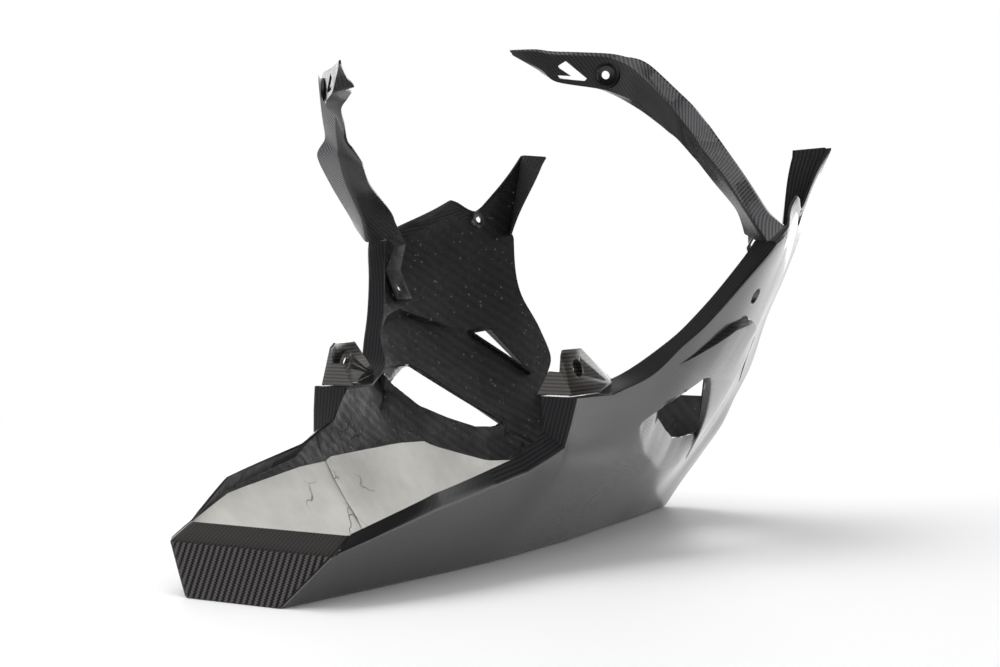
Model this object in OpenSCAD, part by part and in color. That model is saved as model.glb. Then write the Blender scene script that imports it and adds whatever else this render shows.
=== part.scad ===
// Belly pan of a motorcycle, laid up in carbon fibre.
// X runs from the low closed tail to the tall front, Y to the left, Z up, and the floor is Z = 0.
// The pan is symmetric about Y = 0, so each piece is made for the left side and mirrored.

/* [Pan] */
// Length of the pan from the foot of its tail to the tips of its front horns
pan_length = 670; // [500:10:760]
// Half width of the pan where the side panels are widest
pan_half_width = 205; // [160:5:240]
// Height of the front horns
pan_height = 331; // [260:1:380]
// Thickness of the laminate
wall = 2; // [1.6:0.1:2.8]

/* [Flanges] */
// Height of the upright band round the rim of the tail
band_rise = 11; // [8:1:14]
// Width of the ledge that carries each side bracket
ledge_width = 32; // [26:1:36]
// Width of the turned-in flange along the side panels
flange_width = 18; // [14:1:24]
// Width of the edge return where a panel has no flange
return_width = 3; // [2.5:0.5:5]
// Width of the front flange at the horn tips
horn_flange_width = 33; // [24:1:38]

/* [Vents and pockets] */
// Depth of the funnel round each side vent
vent_depth = 12; // [8:1:16]
// Depth of the step along the top of each side pocket
pocket_depth = 8; // [5:1:10]

/* [Holes] */
// Diameter of the two screw holes in each side panel
panel_hole = 6.4; // [5:0.1:8]
// Diameter of the dished seat round each panel hole
panel_seat = 15; // [12:0.5:18]
// Diameter of the hole in each side bracket
bracket_hole = 8.4; // [6:0.1:11]
// Diameter of the hole in each arm
arm_hole = 6.4; // [5:0.1:8]
// Diameter of the well round each arm hole
arm_well = 17; // [15:0.5:20]

/* [Arms] */
// Thickness of the arms
arm_wall = 2; // [1.6:0.1:2.6]
// Height of the arm tips above the floor
arm_height = 390; // [340:5:430]

/* [Side brackets] */
// Height of each bracket above its ledge
bracket_height = 36; // [30:1:44]
// Length of each bracket along its ledge
bracket_length = 70; // [56:1:80]
// Width of the rear plate of each bracket
bracket_width = 30; // [24:1:34]

/* [Heat foil] */
// Thickness of the heat foil with its adhesive
foil = 0.8; // [0.6:0.1:1.2]
// Gap between pieces that are bonded or laid on each other
seat_gap = 0.3; // [0.2:0.1:0.5]

/* [Hidden] */
carbon = "#3a3a3d";
carbon_light = "#55565a";
foil_grey = "#cfccc5";
overrun = pan_half_width / 20;
// Depth by which one sheet of the moulding starts inside another
lap = wall / 5;

// Half width of the skin, as shares of pan_half_width, at stations along X and levels in Z
station_share = [0, 0.17, 0.32, 0.39, 0.53, 0.60, 0.68, 0.78, 0.85, 0.90, 1.00];
level_share = [0, 0.06, 0.15, 0.24, 0.33, 0.42, 0.52, 0.64, 0.76, 0.88, 1.00];
skin_share = [
  [0.205, 0.283, 0.396, 0.50, 0.60, 0.66, 0.71, 0.76, 0.80, 0.85, 0.90],
  [0.255, 0.325, 0.440, 0.54, 0.61, 0.66, 0.71, 0.76, 0.81, 0.86, 0.90],
  [0.290, 0.355, 0.455, 0.54, 0.59, 0.63, 0.69, 0.76, 0.82, 0.87, 0.90],
  [0.295, 0.365, 0.475, 0.56, 0.59, 0.61, 0.69, 0.77, 0.84, 0.89, 0.92],
  [0.280, 0.350, 0.465, 0.57, 0.64, 0.69, 0.74, 0.82, 0.90, 0.96, 0.98],
  [0.260, 0.330, 0.450, 0.56, 0.66, 0.74, 0.80, 0.88, 0.96, 1.00, 1.00],
  [0.230, 0.300, 0.430, 0.55, 0.65, 0.74, 0.82, 0.91, 1.01, 1.05, 1.02],
  [0.200, 0.265, 0.395, 0.51, 0.61, 0.69, 0.76, 0.84, 0.91, 0.91, 0.91],
  [0.170, 0.230, 0.340, 0.45, 0.54, 0.61, 0.68, 0.77, 0.83, 0.87, 0.89],
  [0.150, 0.210, 0.320, 0.43, 0.50, 0.56, 0.62, 0.71, 0.78, 0.83, 0.85],
  [0.100, 0.150, 0.245, 0.34, 0.42, 0.47, 0.53, 0.61, 0.68, 0.74, 0.81]];

// Columns of the moulding from tail to horn: foot X, rim X, rim Z, and belt Z, as shares of the
// pan's length and height; 1 in the last place marks a sharp corner of the rim
column_share = [
  [0.000, 0.028, 0.106, 0.092, 1],
  [0.157, 0.166, 0.175, 0.160, 1],
  [0.306, 0.319, 0.224, 0.195, 1],
  [0.373, 0.379, 0.272, 0.198, 1],
  [0.388, 0.393, 0.384, 0.205, 1],
  [0.455, 0.463, 0.384, 0.208, 1],
  [0.510, 0.528, 0.424, 0.210, 0],
  [0.545, 0.567, 0.489, 0.210, 0],
  [0.575, 0.602, 0.547, 0.208, 0],
  [0.612, 0.640, 0.634, 0.205, 0],
  [0.657, 0.681, 0.743, 0.203, 1],
  [0.716, 0.739, 0.783, 0.198, 1],
  [0.799, 0.833, 0.861, 0.190, 1],
  [0.813, 0.846, 0.855, 0.185, 0],
  [0.836, 0.873, 0.831, 0.175, 0],
  [0.851, 0.900, 0.843, 0.165, 0],
  [0.873, 0.948, 0.909, 0.150, 0],
  [0.896, 1.000, 1.000, 0.139, 1]];
// Columns that each gap between two of those rows is cut into
splits = [3, 3, 1, 1, 2, 2, 2, 2, 2, 3, 2, 3, 1, 2, 2, 3, 3];

// Flange of each column: its width turned inward, its rise and its forward step
flange = [
  [return_width, band_rise, pan_length * 0.03],
  [return_width, band_rise, 0],
  [return_width * 3, band_rise, 0],
  [ledge_width * 0.6, band_rise, 0],
  [ledge_width, 0, 0],
  [ledge_width, 0, 0],
  [ledge_width * 0.85, 0, 0],
  [flange_width, 0, 0],
  [flange_width, 0, 0],
  [flange_width, 0, 0],
  [flange_width * 1.2, 0, 0],
  [return_width, 0, 0],
  [return_width, 0, 0],
  [return_width, 0, 0],
  [return_width, 0, 0],
  [return_width, 0, 0],
  [return_width, 0, 0],
  [return_width, 0, 0]];

// Rows of the moulding below the belt and above it, as shares of each zone
low_row_share = [0, 0.33, 0.67, 1];
high_row_share = [0.09, 0.18, 0.25, 0.30, 0.40, 0.53, 0.62, 0.72, 0.82, 0.91, 1.00];
// Front edge: how far it leaves the straight line from foot to tip, as shares of pan_length,
// at heights given as shares of pan_height
front_height_share = [0, 0.05, 0.14, 0.30, 0.35, 0.40, 0.48, 0.59, 0.76, 0.85, 1.00];
front_step_share = [0, 0.003, -0.003, -0.031, -0.018, -0.004, -0.016, -0.039, -0.033, -0.025, 0];
front_zone_share = 0.78;

// Value between a and b
function between(a, b, t) = a + (b - a) * t;
// Unit vector
function unit(v) = v / max(norm(v), 1e-9);
// Index of the interval of a rising list that holds x
function interval(list, x) =
  max([for (i = [0:len(list) - 2]) if (i == 0 || list[i] <= x) i]);
// Slope of the curve through a list at its knot i
function slope(list, values, i) =
  let (a = max(i - 1, 0), b = min(i + 1, len(list) - 1))
  (values[b] - values[a]) / (list[b] - list[a]);
// Smooth curve through values at the knots of a list
function curve(list, values, x) =
  let (i = interval(list, x), gap = list[i + 1] - list[i], t = (x - list[i]) / gap)
  hermite(values[i], values[i + 1], slope(list, values, i) * gap, slope(list, values, i + 1) * gap, t);
function hermite(a, b, leave, arrive, t) =
  a * (2 * t * t * t - 3 * t * t + 1) + leave * (t * t * t - 2 * t * t + t)
  + b * (3 * t * t - 2 * t * t * t) + arrive * (t * t * t - t * t);

// Half width of the outer skin at a place in the side view
function skin_y(x, z) =
  let (station = x / pan_length, level = z / pan_height)
  pan_half_width * curve(level_share,
    [for (j = [0:len(level_share) - 1]) curve(station_share, [for (row = skin_share) row[j]], station)], level);
// Point of the left skin over a place in the side view, moved inward by inset
function on_skin(place, inset = 0) = [place[0], skin_y(place[0], place[1]) - inset, place[1]];

// A column of sizes at a place along the rim, with its smooth and its sharp knots
function knot(i) = concat([for (j = [0:3]) column_share[i][j]], flange[i]);
function is_sharp(i) = column_share[i][4] == 1;
function leaving(i) = is_sharp(i) ? knot(i + 1) - knot(i) : (knot(i + 1) - knot(i - 1)) / 2;
function arriving(i) = is_sharp(i) ? knot(i) - knot(i - 1) : (knot(i + 1) - knot(i - 1)) / 2;
function column(i, t) = hermite(knot(i), knot(i + 1), leaving(i), arriving(i + 1), t);
columns = concat([for (i = [0:len(splits) - 1]) for (s = [0:splits[i] - 1]) column(i, s / splits[i])],
                 [knot(len(splits))]);
last = len(columns) - 1;

// Point of the side view at a column and a height, with the bent front edge drawn in
function side_place(i, z) =
  let (c = columns[i], v = z / (c[2] * pan_height), along = i / last,
       pull = max(0, (along - front_zone_share) / (1 - front_zone_share)),
       bend = curve(front_height_share, front_step_share, z / pan_height))
  [pan_length * (between(c[0], c[1], v) + bend * pull), z];
// Heights of the rows of a column
function row_heights(i) =
  let (rim = columns[i][2] * pan_height, belt = columns[i][3] * pan_height)
  concat([for (s = low_row_share) belt * s], [for (s = high_row_share) between(belt, rim, s)]);
// Left half of a column, from the foot up to the edge of the flange
function half_column(i) =
  let (heights = row_heights(i), skin = [for (z = heights) on_skin(side_place(i, z))],
       rim = skin[len(skin) - 1], f = columns[i])
  concat(skin, [rim + [f[6], -f[4], f[5]]]);
halves = [for (i = [0:last]) half_column(i)];
middle = max([for (half = halves) for (p = half) p[0]]) / 2;
rows = len(halves[0]);
belt_row = len(low_row_share) - 1;
wall_row = belt_row + 2;
tail_rows = [0, 1, 2, belt_row, belt_row + 4, rows - 2, rows - 1];

function mirrored(points) = [for (p = points) [p[0], -p[1], p[2]]];
function reversed(list) = [for (i = [len(list) - 1:-1:0]) list[i]];
// Whole sections from the right flange across the floor to the left one
sections = [for (half = halves) concat(reversed(mirrored(half)), half)];
// The pan's own sheet starts inside the thickness of the tail
pan_sections = [for (i = [0:last]) i > 0 ? sections[i] : [for (p = sections[0]) p + [wall / 2, 0, 0]]];

// Inward normal of a grid at a point
function grid_normal(g, i, j) =
  let (a = g[min(i + 1, len(g) - 1)][j] - g[max(i - 1, 0)][j],
       b = g[i][min(j + 1, len(g[0]) - 1)] - g[i][max(j - 1, 0)])
  unit(cross(a, b));
// A grid moved along its own normals, and never below the floor
function above_floor(p) = [p[0], p[1], max(p[2], lap / 2)];
// A point of the left skin drawn to the middle of its thickness
function tucked(p) = [p[0], p[1] - wall / 2, max(p[2], lap)];
function moved(g, by) =
  [for (i = [0:len(g) - 1]) [for (j = [0:len(g[0]) - 1]) above_floor(g[i][j] + grid_normal(g, i, j) * by)]];
// Rows and columns of a grid
function patch(g, i_first, i_last, j_first, j_last) =
  [for (i = [i_first:i_last]) [for (j = [j_first:j_last]) g[i][j]]];

// Solid between two grids of the same size
module slab(outer, inner) {
  n = len(outer);
  m = len(outer[0]);
  function at(side, i, j) = side * n * m + i * m + j;
  faces = concat(
    [for (i = [0:n - 2]) for (j = [0:m - 2]) each [
      [at(0, i, j), at(0, i + 1, j), at(0, i, j + 1)],
      [at(0, i, j + 1), at(0, i + 1, j), at(0, i + 1, j + 1)],
      [at(1, i, j), at(1, i, j + 1), at(1, i + 1, j)],
      [at(1, i, j + 1), at(1, i + 1, j + 1), at(1, i + 1, j)]]],
    [for (i = [0:n - 2]) each [
      [at(0, i, 0), at(1, i, 0), at(0, i + 1, 0)],
      [at(0, i + 1, 0), at(1, i, 0), at(1, i + 1, 0)],
      [at(0, i, m - 1), at(0, i + 1, m - 1), at(1, i, m - 1)],
      [at(0, i + 1, m - 1), at(1, i + 1, m - 1), at(1, i, m - 1)]]],
    [for (j = [0:m - 2]) each [
      [at(0, 0, j), at(0, 0, j + 1), at(1, 0, j)],
      [at(0, 0, j + 1), at(1, 0, j + 1), at(1, 0, j)],
      [at(0, n - 1, j), at(1, n - 1, j), at(0, n - 1, j + 1)],
      [at(0, n - 1, j + 1), at(1, n - 1, j), at(1, n - 1, j + 1)]]]);
  polyhedron(points = concat([for (row = outer) each row], [for (row = inner) each row]),
             faces = faces, convexity = 10);
}
// Sheet of a given thickness behind a grid
module sheet(g, thickness, behind = 0) {
  slab(behind == 0 ? g : moved(g, behind), moved(g, behind + thickness));
}
// Both sides of a piece that is made for the left
module both_sides() {
  children();
  mirror([0, 1, 0]) children();
}
module centred() {
  translate([-middle, 0, 0]) children();
}
// Joins thin sheets into one moulding without changing its size
module fused() {
  resize([0, 0, 0]) children();
}

// Loop of points with each edge cut into equal steps
function dense(loop, steps) =
  [for (i = [0:len(loop) - 1]) for (s = [0:steps - 1]) between(loop[i], loop[(i + 1) % len(loop)], s / steps)];
// Loop made wider or narrower about its middle
function centre_of(loop) = [for (k = [0:len(loop[0]) - 1]) sum([for (p = loop) p[k]]) / len(loop)];
function sum(list) = list * [for (v = list) 1];
function wider(loop, by) = let (c = centre_of(loop)) [for (p = loop) p + unit(p - c) * by];
// Point along a broken line, where t runs from 0 to 1 and may pass either end
function along_line(line, t) =
  let (place = t * (len(line) - 1), i = max(0, min(floor(place), len(line) - 2)))
  between(line[i], line[i + 1], place - i);
// Places in the side view from shares of the pan's length and height
function side_view(shares) = [for (p = shares) [p[0] * pan_length, p[1] * pan_height]];

// Ring that joins four loops of the same count, each to the next and the last to the first
module ring(loops) {
  n = len(loops[0]);
  function at(k, i) = (k % 4) * n + i % n;
  polyhedron(points = [for (loop = loops) each loop], convexity = 10,
    faces = [for (k = [0:3]) for (i = [0:n - 1]) each k == 2 ? [
      [at(k, i), at(k + 1, i + 1), at(k, i + 1)],
      [at(k, i), at(k + 1, i), at(k + 1, i + 1)]] : [
      [at(k, i), at(k + 1, i), at(k, i + 1)],
      [at(k, i + 1), at(k + 1, i), at(k + 1, i + 1)]]]);
}
// Prism through the left skin over an outline of the side view
module side_prism(outline) {
  translate([0, pan_half_width + overrun, 0]) rotate([90, 0, 0])
    linear_extrude(height = pan_half_width + overrun - wall) polygon(outline);
}
// Outward normal of the left skin, and a piece put on it with its Z axis along that normal
function panel_normal(place) =
  let (here = on_skin(place), up = on_skin(place + [0, wall]), ahead = on_skin(place + [wall, 0]))
  unit(cross(up - here, ahead - here));
module on_panel(place) {
  normal = panel_normal(place);
  translate(on_skin(place)) rotate([0, acos(normal[2]), atan2(normal[1], normal[0])]) children();
}

// Closed tail: an end face that leans forward and the lip above it
module tail() {
  edge = [for (j = tail_rows) tucked(halves[0][j])];
  sheet([for (p = edge) [p, [p[0], -p[1], p[2]]]], wall);
}
// Low wall across the front of the trough
module front_wall() {
  edge = [for (j = [0:wall_row]) tucked(halves[last][j]) - [lap, 0, 0]];
  sheet([for (p = edge) [[p[0], -p[1], p[2]], p]], wall);
}
// Flange that turns in along the front edge of a horn and widens to its tip
module horn_flange() {
  first = rows - 5;
  g = [for (j = [first:rows - 2])
    let (p = halves[last][j] - [lap, lap, 0], t = max((j - first) / (rows - 2 - first), seat_gap / wall))
    [p + [-horn_flange_width * 0.3, -horn_flange_width, -horn_flange_width * 0.1] * t, p]];
  sheet(g, wall);
}

// Side vent: the opening and the wider outline that its funnel starts from
vent_share = [[0.609, 0.402], [0.661, 0.396], [0.779, 0.236], [0.752, 0.227], [0.710, 0.233],
              [0.645, 0.275], [0.607, 0.326], [0.603, 0.363]];
funnel_share = [[0.611, 0.411], [0.667, 0.405], [0.818, 0.165], [0.770, 0.148], [0.707, 0.151],
                [0.615, 0.200], [0.552, 0.272], [0.542, 0.311]];
vent_depth_share = [0.25, 0.25, 0.7, 1, 1, 1, 1, 0.7];
edge_steps = 3;
vent = dense(side_view(vent_share), edge_steps);
funnel = dense(side_view(funnel_share), edge_steps);
vent_insets = dense([for (d = vent_depth_share) d * vent_depth], edge_steps);
module vent_funnel() {
  rim = wider(funnel, wall * 0.95);
  back = wall * 1.6;
  ring([[for (p = rim) on_skin(p, lap)],
        [for (i = [0:len(vent) - 1]) on_skin(vent[i], vent_insets[i])],
        [for (i = [0:len(vent) - 1]) on_skin(vent[i], vent_insets[i] + back)],
        [for (p = rim) on_skin(p, lap + back)]]);
}

// Side pocket: the upper and lower edges of its sloping floor, and the slot that it ends in
pocket_top_share = [[0.568, 0.441], [0.621, 0.500], [0.675, 0.547], [0.692, 0.556], [0.748, 0.520], [0.804, 0.485]];
pocket_foot_share = [[0.568, 0.435], [0.880, 0.360]];
slot_share = [[0.801, 0.484], [0.831, 0.493], [0.880, 0.360], [0.874, 0.364]];
pocket_top = side_view(pocket_top_share);
pocket_foot = side_view(pocket_foot_share);
slot = side_view(slot_share);
pocket_cut = concat(pocket_top, [between(slot[1], slot[2], 0.4)], reversed(pocket_foot));
pocket_columns = 10;
pocket_rows = 3;
module pocket_floor() {
  steps = [for (i = [0:pocket_columns]) between(-wall / pan_length, 1 + 8 * wall / pan_length, i / pocket_columns)];
  g = [for (t = steps)
    let (top = along_line(pocket_top, t), foot = along_line(pocket_foot, t) - [0, wall / 2],
         depth = max(pocket_depth * min(t * 2.6, 1), lap * 2))
    concat([for (k = [0:pocket_rows]) let (v = k / pocket_rows)
              on_skin(between(foot, top - [0, lap], v), between(lap, depth, v))],
           [on_skin(top + [0, wall * 0.7], lap)])];
  back = [for (row = g) [for (k = [0:len(row) - 1]) row[k] - [0, wall * 1.6, k < pocket_rows ? 0 : -wall]]];
  slab(g, back);
}

// Screw holes of a side panel
lower_hole = side_view([[0.696, 0.604]])[0];
upper_hole = side_view([[0.879, 0.803]])[0];
seat_depth = wall * 1.5;
module hole_seat() {
  translate([0, 0, -seat_depth - wall]) cylinder(d = panel_seat + 1.5 * wall, h = seat_depth + wall - lap, $fn = 32);
}
module hole_cut() {
  translate([0, 0, -seat_depth]) cylinder(d = panel_seat, h = seat_depth + overrun, $fn = 32);
  translate([0, 0, -seat_depth - wall - overrun]) cylinder(d = panel_hole, h = wall + 2 * overrun, $fn = 32);
}

module moulding() {
  difference() {
    union() {
      difference() {
        sheet(pan_sections, wall);
        both_sides() {
          side_prism(side_view(funnel_share));
          side_prism(pocket_cut);
        }
      }
      tail();
      front_wall();
      both_sides() {
        horn_flange();
        vent_funnel();
        pocket_floor();
        on_panel(lower_hole) hole_seat();
        on_panel(upper_hole) hole_seat();
      }
    }
    both_sides() side_prism(slot);
  }
}
module pan_shell() color(carbon_light) centred() {
  difference() {
    fused() moulding();
    both_sides() {
      on_panel(lower_hole) hole_cut();
      on_panel(upper_hole) hole_cut();
    }
  }
}

// Arm: its outer edge, its ridge, its inner edge and its back edge at stations from tip to foot,
// as shares of the pan's length, its half width and the arm's height
arm_share = [
  [[0.354, 0.385, 0.997], [0.354, 0.385, 0.994], [0.357, 0.388, 0.990], [0.358, 0.386, 0.988]],
  [[0.376, 0.449, 1.000], [0.376, 0.449, 0.995], [0.381, 0.463, 0.962], [0.391, 0.429, 0.964]],
  [[0.391, 0.502, 0.997], [0.391, 0.499, 0.990], [0.393, 0.507, 0.938], [0.412, 0.444, 0.951]],
  [[0.436, 0.654, 0.995], [0.433, 0.644, 0.987], [0.430, 0.624, 0.926], [0.452, 0.571, 0.931]],
  [[0.454, 0.717, 0.987], [0.451, 0.693, 0.974], [0.452, 0.673, 0.915], [0.467, 0.634, 0.915]],
  [[0.472, 0.761, 0.972], [0.479, 0.712, 0.954], [0.481, 0.702, 0.903], [0.496, 0.693, 0.887]],
  [[0.506, 0.829, 0.921], [0.510, 0.761, 0.910], [0.516, 0.751, 0.879], [0.525, 0.751, 0.851]],
  [[0.524, 0.863, 0.895], [0.528, 0.800, 0.872], [0.537, 0.783, 0.851], [0.546, 0.766, 0.833]],
  [[0.543, 0.898, 0.859], [0.546, 0.834, 0.833], [0.560, 0.807, 0.820], [0.575, 0.780, 0.803]],
  [[0.546, 0.946, 0.821], [0.555, 0.849, 0.815], [0.570, 0.817, 0.803], [0.585, 0.790, 0.790]],
  [[0.593, 0.980, 0.754], [0.590, 0.893, 0.759], [0.601, 0.854, 0.756], [0.612, 0.815, 0.751]],
  [[0.646, 1.005, 0.685], [0.640, 0.927, 0.679], [0.654, 0.878, 0.687], [0.668, 0.830, 0.695]],
  [[0.670, 1.034, 0.664], [0.666, 0.966, 0.632], [0.676, 0.900, 0.650], [0.687, 0.839, 0.668]]];
// The arm's head stands upright over the line that its outer edge takes from the tip
head_start = [arm_share[0][0][0] * pan_length, arm_share[0][0][1] * pan_half_width, 0];
head_run = [arm_share[4][0][0] * pan_length, arm_share[4][0][1] * pan_half_width, 0] - head_start;
head_turn = atan2(head_run[1], head_run[0]);
// Window in the head and the place of its hole, as shares of the head's run and of arm_height
window_share = [[0.396, 0.969], [0.461, 0.979], [0.637, 0.946], [0.617, 0.941],
                [0.412, 0.944], [0.392, 0.951], [0.502, 0.950], [0.404, 0.965]];
arm_hole_share = [0.800, 0.954];
function on_face(share) = [share[0] * norm(head_run), share[1] * arm_height, 0];
well_depth = arm_wall * 2;

function arm_points(station) =
  [for (p = reversed(station)) [p[0] * pan_length, p[1] * pan_half_width, p[2] * arm_height]];
arm_grid = [for (station = arm_share) arm_points(station)];
// Puts a piece on the arm's head with Z along its outward normal, X along the head and Y up
module on_head() {
  translate(head_start) rotate([0, 0, head_turn]) rotate([90, 0, 180]) mirror([1, 0, 0]) children();
}
module arm() {
  difference() {
    union() {
      sheet(arm_grid, arm_wall);
      on_head() translate(on_face(arm_hole_share))
        translate([0, 0, -well_depth - arm_wall])
        cylinder(d = arm_well + 2 * arm_wall, h = well_depth + arm_wall, $fn = 32);
    }
    on_head() {
      translate([0, 0, -arm_well]) linear_extrude(height = arm_well + overrun)
        polygon([for (p = window_share) [on_face(p)[0], on_face(p)[1]]]);
      translate(on_face(arm_hole_share)) {
        translate([0, 0, -well_depth]) cylinder(d = arm_well, h = well_depth + overrun, $fn = 32);
        translate([0, 0, -well_depth - arm_wall - overrun]) cylinder(d = arm_hole, h = arm_wall + 2 * overrun, $fn = 32);
      }
    }
  }
}
module arm_left() color(carbon) centred() arm();
module arm_right() color(carbon) centred() mirror([0, 1, 0]) arm();

// Joiner from the back of an arm's foot down to the back of the lower hole's seat
joiner_grip_share = [0.04, 0.5];
joiner_bend_share = [[0.703, 0.832, 0.734], [0.684, 0.852, 0.725]];
joiner_half = panel_seat * 0.68;
joiner_behind = seat_depth + wall + seat_gap;
function joiner_foot(dx, dz) =
  on_skin(lower_hole + [dx, dz]) - panel_normal(lower_hole) * (joiner_behind + arm_wall);
module arm_joiner() {
  end = len(arm_grid) - 1;
  back = moved(arm_grid, arm_wall + seat_gap);
  foot = [for (t = joiner_grip_share) between(back[end][0], back[end][2], t)];
  start = [for (t = joiner_grip_share) between(back[end - 1][0], back[end - 1][2], t)];
  difference() {
    sheet([between(foot, start, 0.55), foot,
           [for (p = joiner_bend_share) [p[0] * pan_length, p[1] * pan_half_width, p[2] * pan_height]],
           [joiner_foot(joiner_half, joiner_half * 1.6), joiner_foot(-joiner_half, joiner_half * 1.6)],
           [joiner_foot(joiner_half, -joiner_half), joiner_foot(-joiner_half, -joiner_half)]], arm_wall);
    on_panel(lower_hole) translate([0, 0, -joiner_behind - arm_wall - overrun])
      cylinder(d = panel_hole, h = arm_wall + 2 * overrun, $fn = 32);
  }
}
module arm_joiner_left() color(carbon) centred() arm_joiner();
module arm_joiner_right() color(carbon) centred() mirror([0, 1, 0]) arm_joiner();

// Side bracket on its ledge: the first and last columns that its foot follows
bracket_first_column = 8;
bracket_last_column = 11;
bracket_in = wall * 3;
bracket_well = bracket_hole * 1.7;
bracket_lean = 15;
module bracket() {
  ledge_z = halves[bracket_first_column][rows - 2][2];
  lift = seat_gap + wall * sin(bracket_lean);
  floor_line = [for (i = [bracket_first_column:bracket_last_column]) let (p = halves[i][rows - 2])
    [p[0], ledge_z + (p[2] - ledge_z) / cos(bracket_lean) + lift]];
  start = floor_line[0] + [wall, 0];
  base_y = halves[bracket_first_column][rows - 2][1] - bracket_in;
  top = start[1] + bracket_height;
  outline = concat(
    [start], [for (i = [1:len(floor_line) - 1]) floor_line[i]],
    [[start[0] + bracket_length, floor_line[len(floor_line) - 1][1] + wall],
     [start[0] + bracket_length * 0.45, top], [start[0] + bracket_length * 0.06, top],
     [start[0], top - bracket_length * 0.06]]);
  hole = [start[0] + bracket_length * 0.27, start[1] + bracket_height * 0.58];
  // Side plate with its dished hole
  translate([0, base_y, start[1]]) rotate([bracket_lean, 0, 0]) translate([0, 0, -start[1]]) difference() {
    union() {
      rotate([90, 0, 0]) linear_extrude(height = wall) polygon(outline);
      translate([hole[0], 0, hole[1]]) rotate([90, 0, 0]) cylinder(d = bracket_well + 2 * wall, h = 3 * wall, $fn = 32);
    }
    translate([hole[0], overrun, hole[1]]) rotate([90, 0, 0]) cylinder(d = bracket_well, h = 2 * wall + overrun, $fn = 32);
    translate([hole[0], overrun, hole[1]]) rotate([90, 0, 0]) cylinder(d = bracket_hole, h = 4 * wall + 2 * overrun, $fn = 32);
  }
  // Rear plate, hollowed beside a narrow strip that runs up the side plate
  translate([start[0] + wall, base_y - lap, 0]) rotate([90, 0, -90]) linear_extrude(height = wall) polygon([
    [0, start[1]], [bracket_width, start[1]], [bracket_width * 0.66, start[1] + bracket_height / 2],
    [bracket_width * 0.35, start[1] + bracket_height / 2], [bracket_width * 0.32, start[1] + bracket_height * 0.85],
    [bracket_height * 0.86 * tan(bracket_lean), start[1] + bracket_height * 0.86]]);
}
module bracket_left() color(carbon) centred() bracket();
module bracket_right() color(carbon) centred() mirror([0, 1, 0]) bracket();

// Heat foil in the trough: two sheets that overlap by one column
foil_first_column = 1;
foil_seam_column = 8;
foil_last_column = 24;
foil_clearance = wall * 1.5;
module foil_sheet(first, end, behind) {
  fused() difference() {
    sheet(patch(sections, first, end, rows - 1 - belt_row, rows + belt_row), foil, behind);
    both_sides() side_prism(wider(side_view(funnel_share), foil_clearance));
  }
}
module heat_foil_rear() color(foil_grey) centred() foil_sheet(foil_first_column, foil_seam_column, wall + seat_gap);
module heat_foil_front() color(foil_grey) centred() foil_sheet(foil_seam_column - 1, foil_last_column, wall + foil + 2 * seat_gap);

pan_shell();
arm_left();
arm_right();
arm_joiner_left();
arm_joiner_right();
bracket_left();
bracket_right();
heat_foil_rear();
heat_foil_front();
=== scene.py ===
import math
import bmesh
import bpy
import numpy as np
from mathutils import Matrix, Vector, noise


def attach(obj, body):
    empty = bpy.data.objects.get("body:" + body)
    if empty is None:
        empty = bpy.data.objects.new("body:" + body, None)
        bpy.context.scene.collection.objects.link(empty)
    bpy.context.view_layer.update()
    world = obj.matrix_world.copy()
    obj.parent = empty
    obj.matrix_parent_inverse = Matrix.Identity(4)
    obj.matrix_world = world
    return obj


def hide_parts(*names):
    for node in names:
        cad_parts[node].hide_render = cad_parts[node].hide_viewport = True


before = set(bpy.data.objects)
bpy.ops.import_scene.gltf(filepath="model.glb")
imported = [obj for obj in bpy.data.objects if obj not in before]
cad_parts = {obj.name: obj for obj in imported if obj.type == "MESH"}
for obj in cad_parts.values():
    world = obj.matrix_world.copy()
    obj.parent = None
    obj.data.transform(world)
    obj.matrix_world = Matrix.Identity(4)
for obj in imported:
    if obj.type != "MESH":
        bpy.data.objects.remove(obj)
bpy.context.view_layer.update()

scene = bpy.context.scene
scene.view_settings.view_transform = "Standard"

# The camera stands low behind the tail, a little to the right of it
view = {"place": (-1.398, -0.848, 0.244), "turn": 30.89, "drop": 2.59, "lens": 72.0}
cameraData = bpy.data.cameras.new("photoCamera")
cameraData.lens = view["lens"]
cameraData.sensor_width = 36.0
camera = bpy.data.objects.new("photoCamera", cameraData)
camera.location = view["place"]
camera.rotation_euler = (math.radians(90 - view["drop"]), 0, math.radians(view["turn"] - 90))
scene.collection.objects.link(camera)
scene.camera = camera


# sRGB hex to the linear values that the shaders take
def hexLinear(code):
    parts = [int(code[i:i + 2], 16) / 255 for i in (1, 3, 5)]
    return tuple(p / 12.92 if p <= 0.04045 else ((p + 0.055) / 1.055) ** 2.4 for p in parts) + (1.0,)


# Adds a node with its settings, and its inputs as values or links
def addNode(tree, kind, inputs=None, **settings):
    node = tree.nodes.new(kind)
    for name, value in settings.items():
        setattr(node, name, value)
    for name, value in (inputs or {}).items():
        if isinstance(value, bpy.types.NodeSocket):
            tree.links.new(value, node.inputs[name])
        else:
            node.inputs[name].default_value = value
    return node


def newMaterial(name):
    material = bpy.data.materials.new(name)
    material.use_nodes = True
    tree = material.node_tree
    tree.nodes.clear()
    return material, tree


# Materials

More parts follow.
